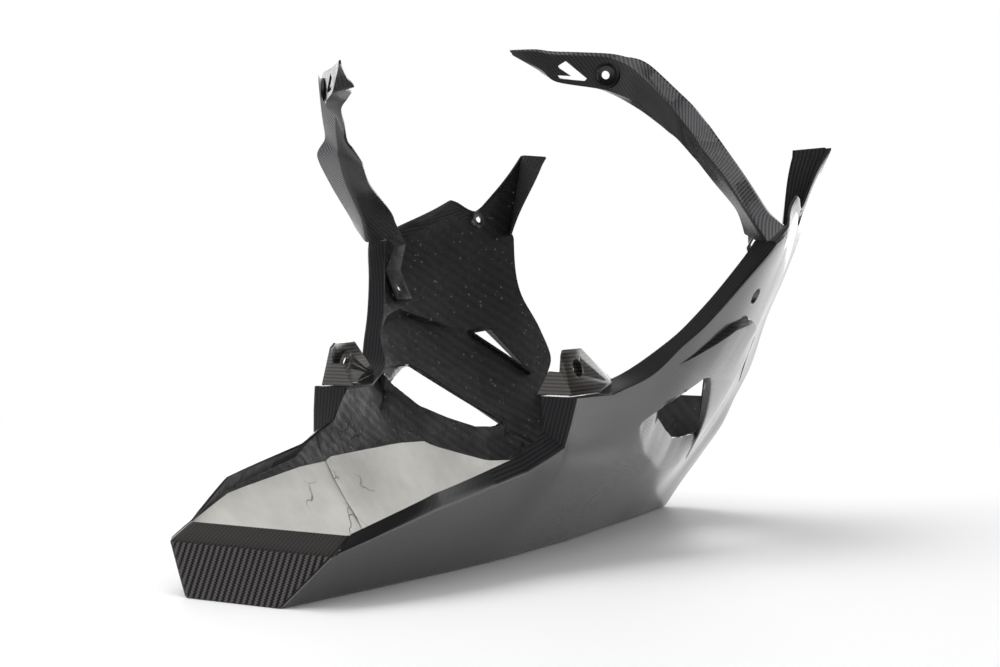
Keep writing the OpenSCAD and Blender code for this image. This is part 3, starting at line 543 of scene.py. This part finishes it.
def sectionPoints(column):
    c, along = column
    rimX, rimZ = sidePlace(column, 1.0)
    rim = Vector((rimX, float(skinY(rimX, rimZ)), rimZ))
    edge = rim + Vector((c[6], -c[4], c[5]))
    return rim, edge


def bendPoints(a, corner, b, steps=3):
    return [a * (1 - t) ** 2 + corner * 2 * t * (1 - t) + b * t * t for t in [k / steps for k in range(steps + 1)]]


# The panels' upper edges are rounder than the tail's
def roundAt(column):
    share = min(max((column[1] - 0.45) / 0.12, 0), 1)
    return pan["edgeRound"] + (pan["shoulder"] - pan["edgeRound"]) * share


rowCount = pan["rowCount"]
flat = bmesh.new()
cloth = flat.loops.layers.uv.new("cloth")
r = pan["edgeRound"]
placesXZ = []
for column in columns:
    rimZ = column[0][2] * pan["height"]
    lows, highs = r / rimZ, 1 - roundAt(column) / rimZ
    placesXZ.append([sidePlace(column, lows + (highs - lows) * k / rowCount) for k in range(rowCount + 1)])
placesXZ = np.array(placesXZ)
tailPlaces = placesXZ[0].copy()
placesXZ[0, :, 0] += pan["cornerRound"]
flatY = skinY(placesXZ[..., 0], placesXZ[..., 1])
rise = np.hypot(np.diff(flatY, axis=1), np.diff(placesXZ[..., 1], axis=1))
heights = np.concatenate([np.zeros((len(columns), 1)), np.cumsum(rise, axis=1)], axis=1)
# the top two rows of the shoulder take the thinly coated flange cloth, so that the edge shows dark: painted shade
addGrid(flat, cloth, [[Vector((x, 0, z)) for x, z in row] for row in placesXZ],
        lambda a, b: (placesXZ[a, b, 0], heights[a, b] + flatY[a, 0]),
        lambda i, j: flangeMaterial if j >= rowCount - 2 and 0.60 < columns[i][1] < 0.97 else skinMaterial)

scoreLine(flat, ventCut)
for by in (0.0015, 0.0, -0.0015, -0.0045):
    scoreLine(flat, grown(funnelCut, by))
scoreLine(flat, scoopTop, closed=False)
scoreLine(flat, scoopFoot, closed=False)
stepFoot = [scoopTop[0]]
for a, b, share in ((scoopTop[0], scoopTop[1], 0.55), (scoopTop[1], scoopTop[2], 0.8), (scoopTop[2], scoopTop[3], 1.0)):
    way = np.array(b) - np.array(a)
    way /= np.hypot(*way)
    stepFoot.append(tuple(np.array(b) + np.array((way[1], -way[0])) * side["scoopStep"] * share))
scoreLine(flat, stepFoot, closed=False)
frontFoot = []
for a, b, at in ((scoopTop[3], scoopTop[4], scoopTop[3]), (scoopTop[3], scoopTop[4], scoopTop[4]),
                 (scoopTop[4], scoopTop[5], scoopTop[5])):
    way = (np.array(b) - np.array(a)) / np.hypot(*(np.array(b) - np.array(a)))
    frontFoot.append(tuple(np.array(at) + np.array((way[1], -way[0])) * side["scoopEnd"]))
scoreLine(flat, frontFoot, closed=False)
slotHole = grown(slotOutline, -side["slotLip"])
scoreLine(flat, slotOutline)
scoreLine(flat, slotHole)
removeInside(flat, ventCut)
removeInside(flat, slotHole)
for place in holePlaces:
    ring = [(p.x, p.z) for p in holeRing(place, side["seatWidth"] / 2)]
    scoreLine(flat, ring, reach=0.005)
    removeInside(flat, ring)
flatPlaces = np.array([v.co for v in flat.verts])
pressed, alongBy, upBy = pressedIn(flatPlaces[:, 0], flatPlaces[:, 2])
# painted shade: the step, the slot's lip and the vent's front wall take the flange cloth, whose thin coat leaves them
# dark
faceX, faceZ = np.array([f.calc_center_median() for f in flat.faces])[:, (0, 2)].T
inStep, _ = outlineDistance(faceX, faceZ, scoopTop[:4] + stepFoot[:0:-1])
inSlot, _ = outlineDistance(faceX, faceZ, slotOutline)
inFunnel, _ = outlineDistance(faceX, faceZ, funnelCut)
shaded = (inStep > 0) | (inSlot > 0) | ((inFunnel > 0) & (lineDistance(faceX, faceZ, funnelOutline[:6]) < 0.005))
for face, dark in zip(flat.faces, shaded):
    if dark:
        face.material_index = flangeMaterial
movedX, movedZ = flatPlaces[:, 0] + alongBy, flatPlaces[:, 2] + upBy
movedY = skinY(movedX, movedZ) - pressed
for vert, place in zip(flat.verts, np.stack([movedX, movedY, movedZ], -1)):
    vert.co = place
print("panel pressed and cut")

# Rims: a small round bend, then the flange; the floor strip; both made column by column
def rimLine(column, lastPlace, back=0.0):
    rim, edge = sectionPoints(column)
    rim.x, edge.x = rim.x + back, edge.x + back
    way = (edge - rim).normalized()
    bend = bendPoints(surfacePoint(*lastPlace), rim, rim + way * min(roundAt(column), (edge - rim).length * 0.5))
    start = bend[-1]
    return bend + [start + (edge - start) * s / 3 for s in (1, 2, 3)]


def footLine(column, firstPlace, back=0.0):
    footX = sidePlace(column, 0.0)[0] + back
    foot = Vector((footX, float(skinY(footX, 0.0)), 0.0))
    floorLine = [Vector((footX, foot.y * s, 0)) for s in (0.6, 0.3, 0.0)]
    return bendPoints(surfacePoint(*firstPlace), foot, foot - Vector((0, r, 0))) + floorLine


backs = [pan["cornerRound"]] + [0.0] * (len(columns) - 1)
rimRows = [rimLine(column, places[-1], back) for column, places, back in zip(columns, placesXZ, backs)]
footRows = [footLine(column, places[0], back) for column, places, back in zip(columns, placesXZ, backs)]
arcs = lambda rows: [[0.0] + list(np.cumsum([(b - a).length for a, b in zip(row, row[1:])])) for row in rows]
rimArcs, footArcs = arcs(rimRows), arcs(footRows)
rimRun = [0.0] + list(np.cumsum([(b[3] - a[3]).length for a, b in zip(rimRows, rimRows[1:])]))
addGrid(flat, cloth, rimRows, lambda a, b: (rimRun[a], rimArcs[a][b]),
        lambda i, j: skinMaterial if (j < 2 and columns[i][1] < 0.60) or columns[i][1] < 0.13 else flangeMaterial)
addGrid(flat, cloth, footRows, lambda a, b: (footRows[a][b].x, flatY[a, 0] - footArcs[a][b]), skinMaterial, flip=True)

# The closed tail and its lip, from the left edge to the middle
def tailEdge(places, back):
    foot, rim = footLine(columns[0], places[0], back), rimLine(columns[0], places[-1], back)
    return foot[::-1][3:] + [surfacePoint(*p) for p in places[1:-1]] + rim


sideLine, edgeLine = tailEdge(placesXZ[0], pan["cornerRound"]), tailEdge(tailPlaces, 0.0)
across = 10
tailRows = []
for a, p in zip(sideLine, edgeLine):
    b = Vector((p.x, p.y - pan["cornerRound"], p.z))
    tailRows.append(bendPoints(a, p, b)[:-1] + [Vector((p.x, b.y * (1 - s / across), p.z)) for s in range(across + 1)])
tailArc = [0.0] + list(np.cumsum([(b - a).length for a, b in zip(edgeLine, edgeLine[1:])]))
lipFirst = len(edgeLine) - 6
addGrid(flat, cloth, tailRows, lambda a, b: (tailRows[a][b].y, tailArc[a]),
        lambda i, j: lipMaterial if i >= lipFirst else skinMaterial if j < 3 else tailMaterial)

# The low wall across the front, and the flange that turns in along each horn
frontEdge = [(surfacePoint(*p)) for p in placesXZ[-1]]
wallEdge = [footRows[-1][3]] + [p for p in frontEdge if p.z < 0.105]
wallRows = [[Vector((p.x - 0.0004, p.y * (1 - s / across), p.z)) for s in range(across + 1)] for p in wallEdge]
addGrid(flat, cloth, wallRows, lambda a, b: (wallRows[a][b].y, wallRows[a][b].z), skinMaterial, flip=True)
hornEdge = [p for p in frontEdge if p.z > 0.2505] + [rimRows[-1][3]]
hornFoot, hornTop = (-0.020, -0.011, 0.0), (-0.008, -0.034, -0.003)
hornRows = []
for p in hornEdge:
    t = (p.z - hornEdge[0].z) / (hornEdge[-1].z - hornEdge[0].z)
    inner = p + Vector(hornFoot).lerp(Vector(hornTop), t)
    hornRows.append([p + (inner - p) * s / 6 for s in range(7)])
addGrid(flat, cloth, hornRows, lambda a, b: (hornRows[a][b].z, b * 0.005), flangeMaterial, flip=True)

bmesh.ops.remove_doubles(flat, verts=flat.verts, dist=0.00015)
# the left half is mirrored to the right
copied = bmesh.ops.duplicate(flat, geom=flat.verts[:] + flat.edges[:] + flat.faces[:])
for element in copied["geom"]:
    if isinstance(element, bmesh.types.BMVert):
        element.co.y = -element.co.y
newFaces = [g for g in copied["geom"] if isinstance(g, bmesh.types.BMFace)]
for face in newFaces:
    if face.material_index in (tailMaterial, lipMaterial):
        for loop in face.loops:
            loop[cloth].uv.x = -loop[cloth].uv.x
bmesh.ops.reverse_faces(flat, faces=newFaces)
bmesh.ops.remove_doubles(flat, verts=flat.verts, dist=0.00015)
for vert in flat.verts:
    vert.co.x -= pan["middle"]
    vert.co.z = max(vert.co.z, 0.0)
bmesh.ops.recalc_face_normals(flat, faces=flat.faces)
lowest = min(flat.faces, key=lambda f: f.calc_center_median().z)
if lowest.normal.z > 0:
    bmesh.ops.reverse_faces(flat, faces=flat.faces[:])
panSkin = newMesh("panSkin", flat, [panelTwill, rawLaminate, tailTwill, lipTwill, flangeTwill])
thick = panSkin.modifiers.new("thickness", "SOLIDIFY")
thick.thickness = pan["wall"]
thick.offset = -1.0
thick.use_even_offset = False
thick.material_offset = 1
applyModifiers(panSkin)
for vert in panSkin.data.vertices:
    vert.co.z = max(vert.co.z, 0.0)
smoothBelow(panSkin, 32)
print("pan has", len(panSkin.data.polygons), "faces")


# Turned piece: a profile of radius and height spun about an axis
def turnedPiece(mesh, cloth, centre, axis, profile, count=40, material=0):
    axis = axis.normalized()
    right = axis.cross(Vector((0.3, 0.2, 1))).normalized()
    up = axis.cross(right)
    points = [[centre + axis * h + (right * math.cos(a) + up * math.sin(a)) * rad for rad, h in profile]
              for a in (2 * math.pi * k / count for k in range(count + 1))]
    addGrid(mesh, cloth, points, lambda a, b: (a * 0.001, profile[b][1]), material)


# Dished seats of the screw holes, pressed into the panel with a rounded edge
seats = bmesh.new()
cloth = seats.loops.layers.uv.new("cloth")
wide, bore, deep = side["seatWidth"] / 2, side["holeWidth"] / 2, side["seatDepth"]
seatProfile = [(wide + 0.0004, 0.00005), (wide - 0.0001, -0.0001), (wide - 0.0006, -0.0006), (wide - 0.0011, -deep + 0.0006),
               (wide - 0.0018, -deep), (bore + 0.0006, -deep), (bore, -deep - 0.0005), (bore, -deep - 0.0018),
               (bore + 0.0006, -deep - 0.002), (wide - 0.0004, -deep - 0.002), (wide + 0.0012, -deep), (wide + 0.0014, -0.0022)]
for place in holePlaces:
    for mirror in (1, -1):
        centre, normal = surfacePoint(*place), surfaceNormal(*place)
        turnedPiece(seats, cloth, inModel((centre.x, centre.y * mirror, centre.z)),
                    Vector((normal.x, normal.y * mirror, normal.z)), seatProfile)
bmesh.ops.remove_doubles(seats, verts=seats.verts, dist=0.00002)
bmesh.ops.recalc_face_normals(seats, faces=seats.faces)
holeSeats = newMesh("holeSeats", seats, [panelTwill])
smoothBelow(holeSeats, 50)
holeSeats.parent = panSkin
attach(panSkin, "root")
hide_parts("pan_shell")

# Arms: outer edge, ridge, inner edge and back edge at stations from tip to foot
armShare = [
    [[0.354, 0.385, 0.997], [0.354, 0.385, 0.994], [0.357, 0.388, 0.990], [0.358, 0.386, 0.988]],
    [[0.376, 0.449, 1.000], [0.376, 0.449, 0.995], [0.381, 0.463, 0.962], [0.391, 0.429, 0.964]],
    [[0.391, 0.502, 0.997], [0.391, 0.499, 0.990], [0.393, 0.507, 0.938], [0.412, 0.444, 0.951]],
    [[0.436, 0.654, 0.995], [0.433, 0.644, 0.987], [0.430, 0.624, 0.926], [0.452, 0.571, 0.931]],
    [[0.454, 0.717, 0.987], [0.451, 0.693, 0.974], [0.452, 0.673, 0.915], [0.467, 0.634, 0.915]],
    [[0.472, 0.761, 0.972], [0.479, 0.712, 0.954], [0.481, 0.702, 0.903], [0.496, 0.693, 0.887]],
    [[0.506, 0.829, 0.921], [0.510, 0.761, 0.910], [0.516, 0.751, 0.879], [0.525, 0.751, 0.851]],
    [[0.524, 0.863, 0.895], [0.528, 0.800, 0.872], [0.537, 0.783, 0.851], [0.546, 0.766, 0.833]],
    [[0.543, 0.898, 0.859], [0.546, 0.834, 0.833], [0.560, 0.807, 0.820], [0.575, 0.780, 0.803]],
    [[0.546, 0.946, 0.821], [0.555, 0.849, 0.815], [0.570, 0.817, 0.803], [0.585, 0.790, 0.790]],
    [[0.593, 0.980, 0.754], [0.590, 0.893, 0.759], [0.601, 0.854, 0.756], [0.612, 0.815, 0.751]],
    [[0.646, 1.005, 0.685], [0.640, 0.927, 0.679], [0.654, 0.878, 0.687], [0.668, 0.830, 0.695]],
    [[0.670, 1.034, 0.662], [0.666, 0.966, 0.626], [0.676, 0.900, 0.632], [0.687, 0.839, 0.645]]]
armLook = {"steps": 7, "ridgeRound": 0.0035, "wall": 0.002, "wellWidth": 0.017, "wellDepth": 0.004, "holeWidth": 0.0064}
windowShare = [[0.396, 0.969], [0.461, 0.979], [0.637, 0.946], [0.617, 0.941],
               [0.412, 0.944], [0.392, 0.951], [0.502, 0.950], [0.404, 0.965]]
armHole = (0.800, 0.954)
headStart = Vector((armShare[0][0][0] * pan["length"], armShare[0][0][1] * pan["halfWidth"], 0))
headRun = Vector((armShare[4][0][0] * pan["length"], armShare[4][0][1] * pan["halfWidth"], 0)) - headStart
headAlong = headRun.normalized()
headOut = Vector((-headAlong.y, headAlong.x, 0))


def onHead(x, y):
    return headStart + headRun * x + Vector((0, 0, y * pan["armHeight"]))


# Curve through all points of a line, evenly cut between them
def threaded(points, steps):
    result = []
    for i in range(len(points) - 1):
        p0, p1, p2, p3 = points[max(i - 1, 0)], points[i], points[i + 1], points[min(i + 2, len(points) - 1)]
        for s in range(steps):
            t = s / steps
            leave, arrive = (p2 - p0) * 0.42, (p3 - p1) * 0.42
            if (p1 - p0).length > 0 and (p2 - p1).length < (p1 - p0).length * 0.5:
                leave *= 0.5
            result.append(p1 * (2 * t ** 3 - 3 * t ** 2 + 1) + leave * (t ** 3 - 2 * t ** 2 + t)
                          + p2 * (3 * t ** 2 - 2 * t ** 3) + arrive * (t ** 3 - t ** 2))
    return result + [points[-1]]


scaled = [[Vector((p[0] * pan["length"], p[1] * pan["halfWidth"], p[2] * pan["armHeight"])) for p in station]
          for station in armShare]
armLines = [threaded([station[k] for station in scaled], armLook["steps"]) for k in range(4)]


def armSection(outer, ridge, inner, back):
    size = min(armLook["ridgeRound"], (ridge - outer).length * 0.4, (inner - ridge).length * 0.4)
    a = ridge + (outer - ridge).normalized() * size if size > 1e-6 else ridge
    b = ridge + (inner - ridge).normalized() * size if size > 1e-6 else ridge
    face = [outer + (a - outer) * s / 4 for s in range(4)]
    web = [b + (inner - b) * s / 3 for s in (1, 2)]
    tail = [inner + (back - inner) * s / 3 for s in range(4)]
    return face + bendPoints(a, ridge, b) + web + tail


for mirror, sideName in ((1, "Left"), (-1, "Right")):
    rows = [armSection(*points) for points in zip(*armLines)]
    along = [0.0] + list(np.cumsum([(b[0] - a[0]).length for a, b in zip(rows, rows[1:])]))
    acrossArc = [[0.0] + list(np.cumsum([(b - a).length for a, b in zip(row, row[1:])])) for row in rows]
    mesh = bmesh.new()
    cloth = mesh.loops.layers.uv.new("cloth")
    addGrid(mesh, cloth, rows, lambda a, b: (along[a], acrossArc[a][b]), lambda i, j: 0 if j < 5 else 1)
    window = [onHead(x, y) for x, y in windowShare]
    scoreLine(mesh, window, along=headOut, reach=0.012)
    well = [onHead(*armHole) + (headAlong * math.cos(a) + Vector((0, 0, 1)) * math.sin(a)) * armLook["wellWidth"] / 2
            for a in (2 * math.pi * k / 28 for k in range(28))]
    scoreLine(mesh, well, along=headOut, reach=0.012)
    windowFlat = [(x * headRun.length, y * pan["armHeight"]) for x, y in windowShare]
    cut = []
    for face in mesh.faces:
        off = face.calc_center_median() - headStart
        x, y = off.dot(headAlong), off.z
        isIn, _ = outlineDistance(np.array([x]), np.array([y]), windowFlat)
        ring = math.hypot(x - armHole[0] * headRun.length, y - armHole[1] * pan["armHeight"])
        if isIn[0] > 0 or ring < armLook["wellWidth"] / 2:
            cut.append(face)
    bmesh.ops.delete(mesh, geom=cut, context="FACES")
    for vert in mesh.verts:
        vert.co = Vector((vert.co.x - pan["middle"], vert.co.y * mirror, vert.co.z))
    bmesh.ops.recalc_face_normals(mesh, faces=mesh.faces)
    outward = sum((f.normal.dot(Vector((-1, mirror * 0.4, 0.3))) * f.calc_area() for f in mesh.faces))
    if outward < 0:
        bmesh.ops.reverse_faces(mesh, faces=mesh.faces[:])
    arm = newMesh("arm" + sideName, mesh, [armTwill, webTwill, darkLaminate])
    thick = arm.modifiers.new("thickness", "SOLIDIFY")
    thick.thickness = armLook["wall"]
    thick.offset = -1.0
    thick.material_offset = 1
    applyModifiers(arm)
    smoothBelow(arm, 38)
    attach(arm, "root")
    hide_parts("arm_" + sideName.lower())
    mesh = bmesh.new()
    cloth = mesh.loops.layers.uv.new("cloth")
    centre = onHead(*armHole)
    wide, bore, deep = armLook["wellWidth"] / 2, armLook["holeWidth"] / 2, armLook["wellDepth"]
    profile = [(wide + 0.0003, 0.0002), (wide - 0.0005, -0.0006), (wide - 0.0012, -deep + 0.0008), (wide - 0.0022, -deep),
               (bore + 0.0008, -deep), (bore, -deep - 0.0006), (bore, -deep - 0.0018), (bore + 0.0006, -deep - 0.002),
               (wide, -deep - 0.002), (wide + 0.0019, -deep), (wide + 0.002, -0.001)]
    turnedPiece(mesh, cloth, Vector((centre.x - pan["middle"], centre.y * mirror, centre.z)),
                Vector((headOut.x, headOut.y * mirror, 0)), profile)
    bmesh.ops.remove_doubles(mesh, verts=mesh.verts, dist=0.00002)
    bmesh.ops.recalc_face_normals(mesh, faces=mesh.faces)
    seat = newMesh("armSeat" + sideName, mesh, [darkLaminate])
    smoothBelow(seat, 50)
    seat.parent = arm
print("arms done")


# Brackets and joiners: the solids' own shapes with their edges broken
def softenedCopy(node, name, width, materials):
    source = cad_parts[node]
    mesh = bmesh.new()
    mesh.from_mesh(source.data)
    mesh.transform(source.matrix_world)
    bmesh.ops.remove_doubles(mesh, verts=mesh.verts, dist=0.00002)
    bmesh.ops.dissolve_limit(mesh, angle_limit=math.radians(1.5), verts=mesh.verts, edges=mesh.edges)
    for layer in list(mesh.loops.layers.uv):
        mesh.loops.layers.uv.remove(layer)
    cloth = mesh.loops.layers.uv.new("cloth")
    for face in mesh.faces:
        n = face.normal
        for loop in face.loops:
            p = loop.vert.co
            if abs(n.y) >= max(abs(n.x), abs(n.z)):
                loop[cloth].uv = (p.x, p.z)
            elif abs(n.x) >= abs(n.z):
                loop[cloth].uv = (p.y, p.z)
            else:
                loop[cloth].uv = (p.x, p.y)
    piece = newMesh(name, mesh, materials)
    soft = piece.modifiers.new("brokenEdges", "BEVEL")
    soft.width = width
    soft.segments = 2
    soft.limit_method = "ANGLE"
    soft.angle_limit = math.radians(35)
    applyModifiers(piece)
    smoothBelow(piece, 40)
    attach(piece, "root")
    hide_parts(node)
    return piece


for sideName in ("left", "right"):
    softenedCopy("bracket_" + sideName, "bracket" + sideName.title(), 0.0005, [bracketTwill])
    softenedCopy("arm_joiner_" + sideName, "armJoiner" + sideName.title(), 0.0005, [rawLaminate])
print("brackets and joiners done")

# Heat foil: two crumpled sheets rubbed into the trough
foilLook = {"gap": 0.0024, "wrinkle": 0.0009, "thickness": 0.0003, "clearance": 0.003, "rearReach": 0.012}


def foilSheet(name, node, firstColumn, lastColumn, gap, seed):
    places, points = [], []
    chosen = [c for c in columns if firstColumn <= c[1] * sum(gapSplits) <= lastColumn]
    rows = 26
    for column in chosen:
        reach = foilLook["rearReach"] * max(0.0, 1 - column[1] * sum(gapSplits) / 7)
        belt = min((column[0][3] + reach) / column[0][2], 0.98)
        half = []
        for k in range(rows + 1):
            x, z = sidePlace(column, belt * k / rows)
            half.append((x, z))
        footX = half[0][0]
        line = []
        footY = float(skinY(footX, 0.0))
        for k in range(10):
            line.append(Vector((footX, footY * k / 10, 0.0)))
        for x, z in half:
            line.append(Vector((x, float(skinY(x, z)), z)))
        points.append([Vector((p.x, -p.y, p.z)) for p in line[:0:-1]] + line)
    grid = np.array(points)
    alongWay = np.gradient(grid, axis=0)
    acrossWay = np.gradient(grid, axis=1)
    normals = np.cross(alongWay, acrossWay)
    normals /= np.linalg.norm(normals, axis=2)[..., None]
    middle = normals[len(normals) // 2, normals.shape[1] // 2]
    if middle[2] < 0:
        normals = -normals
    mesh = bmesh.new()
    cloth = mesh.loops.layers.uv.new("cloth")
    laid = []
    for i, row in enumerate(grid):
        line = []
        for j, p in enumerate(row):
            place = Vector(p) * 38 + Vector((seed, 0, 0))
            crumple = noise.noise(place) * 0.6 + abs(noise.noise(place * 2.3)) * 0.7
            q = Vector(p) + Vector(normals[i, j]) * (gap + foilLook["wrinkle"] * (0.4 + crumple))
            line.append(Vector((q.x - pan["middle"], q.y, max(q.z, gap))))
        laid.append(line)
    arc = [[0.0] + list(np.cumsum([(b - a).length for a, b in zip(row, row[1:])])) for row in laid]
    addGrid(mesh, cloth, laid, lambda a, b: (laid[a][b].x + seed, arc[a][b]), 0)
    clear = [(x - pan["middle"], z) for x, z in grown(funnelCut, foilLook["clearance"])]
    scoreLine(mesh, clear, reach=0.012)
    removeInside(mesh, clear)
    bmesh.ops.recalc_face_normals(mesh, faces=mesh.faces)
    if sum(f.normal.z for f in mesh.faces) < 0:
        bmesh.ops.reverse_faces(mesh, faces=mesh.faces[:])
    sheet = newMesh(name, mesh, [foilSkin])
    thick = sheet.modifiers.new("thickness", "SOLIDIFY")
    thick.thickness = foilLook["thickness"]
    thick.offset = -1.0
    applyModifiers(sheet)
    smoothBelow(sheet, 60)
    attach(sheet, "root")
    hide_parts(node)


foilSheet("heatFoilRear", "heat_foil_rear", 0.2, 8, foilLook["gap"], 0.0)
foilSheet("heatFoilFront", "heat_foil_front", 7, 25.5, foilLook["gap"] + 0.001, 0.7)
print("foil done")

# Studio: pale floor, white surround, soft lamps
studio = {"floor": "#f2f2f3", "worldLevel": 0.78, "keyPower": 26.0, "fillPower": 8.0, "darkRoom": 0.06,
          "sweep": 3.0}
floorMesh = bmesh.new()
size = 14
for i in range(size + 1):
    for j in range(size + 1):
        floorMesh.verts.new(((i / size - 0.5) * 12, (j / size - 0.5) * 12, 0))
floorMesh.verts.ensure_lookup_table()
for i in range(size):
    for j in range(size):
        k = i * (size + 1) + j
        floorMesh.faces.new([floorMesh.verts[n] for n in (k, k + size + 1, k + size + 2, k + 1)])
floorMaterial, tree = newMaterial("paintedFloor")
where = addNode(tree, "ShaderNodeTexCoord")
away = addNode(tree, "ShaderNodeVectorMath", {0: where.outputs["Object"]}, operation="LENGTH")
fade = addNode(tree, "ShaderNodeMapRange", {0: away.outputs[1], 1: 0.45, 2: 1.3, 3: 0.0, 4: 1.0},
               interpolation_type="SMOOTHSTEP")
rays = addNode(tree, "ShaderNodeLightPath")
seen = addNode(tree, "ShaderNodeMath", {0: rays.outputs["Is Camera Ray"], 1: rays.outputs["Is Glossy Ray"]}, operation="MAXIMUM")
mixBy = addNode(tree, "ShaderNodeMath", {0: fade.outputs[0], 1: seen.outputs[0]}, operation="MULTIPLY")
paint = addNode(tree, "ShaderNodeBsdfPrincipled", {"Base Color": hexLinear(studio["floor"]), "Roughness": 0.6})
white = addNode(tree, "ShaderNodeEmission", {0: (1, 1, 1, 1), 1: 1.0})
mix = addNode(tree, "ShaderNodeMixShader", {0: mixBy.outputs[0], 1: paint.outputs[0], 2: white.outputs[0]})
addNode(tree, "ShaderNodeOutputMaterial", {0: mix.outputs[0]})
floor = newMesh("paintedFloor", floorMesh, [floorMaterial])
floor.location.z = -0.0004

# The room: a white sweep low in front and to the left, a dark ceiling and a dim wall behind
world = bpy.data.worlds.new("whiteStudio")
scene.world = world
world.use_nodes = True
tree = world.node_tree
tree.nodes.clear()
rays = addNode(tree, "ShaderNodeLightPath")
where = addNode(tree, "ShaderNodeTexCoord")
toward = addNode(tree, "ShaderNodeVectorMath", {0: where.outputs["Generated"], 1: (0.78, 0.62, 0.0)}, operation="DOT_PRODUCT")
axes = addNode(tree, "ShaderNodeSeparateXYZ", {0: where.outputs["Generated"]})
ahead = addNode(tree, "ShaderNodeMapRange", {0: toward.outputs["Value"], 1: -0.25, 2: 0.35, 3: 0.30, 4: 1.0},
                interpolation_type="SMOOTHSTEP")
low = addNode(tree, "ShaderNodeMapRange", {0: axes.outputs[2], 1: 0.22, 2: 0.50, 3: 1.0, 4: studio["darkRoom"]},
              interpolation_type="SMOOTHSTEP")
sweep = addNode(tree, "ShaderNodeMapRange", {0: toward.outputs["Value"], 1: 0.42, 2: 0.80, 3: 1.0, 4: studio["sweep"]},
                interpolation_type="SMOOTHSTEP")
lit = addNode(tree, "ShaderNodeMath", {0: ahead.outputs[0], 1: sweep.outputs[0]}, operation="MULTIPLY")
shine = addNode(tree, "ShaderNodeMath", {0: lit.outputs[0], 1: low.outputs[0]}, operation="MULTIPLY")
soft = addNode(tree, "ShaderNodeBackground", {0: (1, 1, 1, 1), 1: studio["worldLevel"]})
room = addNode(tree, "ShaderNodeBackground", {0: (1, 1, 1, 1), 1: shine.outputs[0]})
bright = addNode(tree, "ShaderNodeBackground", {0: (1, 1, 1, 1), 1: 1.0})
mirrored = addNode(tree, "ShaderNodeMixShader", {0: rays.outputs["Is Glossy Ray"], 1: soft.outputs[0], 2: room.outputs[0]})
seen = addNode(tree, "ShaderNodeMath", {0: rays.outputs["Is Camera Ray"], 1: rays.outputs["Is Transmission Ray"]}, operation="MAXIMUM")
mix = addNode(tree, "ShaderNodeMixShader", {0: seen.outputs[0], 1: mirrored.outputs[0], 2: bright.outputs[0]})
addNode(tree, "ShaderNodeOutputWorld", {0: mix.outputs[0]})

for name, place, width, power in (("keyLamp", (0.4, 0.9, 2.2), 1.6, studio["keyPower"]),
                                           ("fillLamp", (-1.2, 0.9, 1.4), 1.0, studio["fillPower"])):
    lamp = bpy.data.lights.new(name, "AREA")
    lamp.size = width
    lamp.energy = power
    holder = bpy.data.objects.new(name, lamp)
    holder.location = place
    holder.rotation_euler = (Vector((0, 0, 0.1)) - Vector(place)).to_track_quat("-Z", "Y").to_euler()
    holder.visible_glossy = False
    scene.collection.objects.link(holder)
print("studio done")
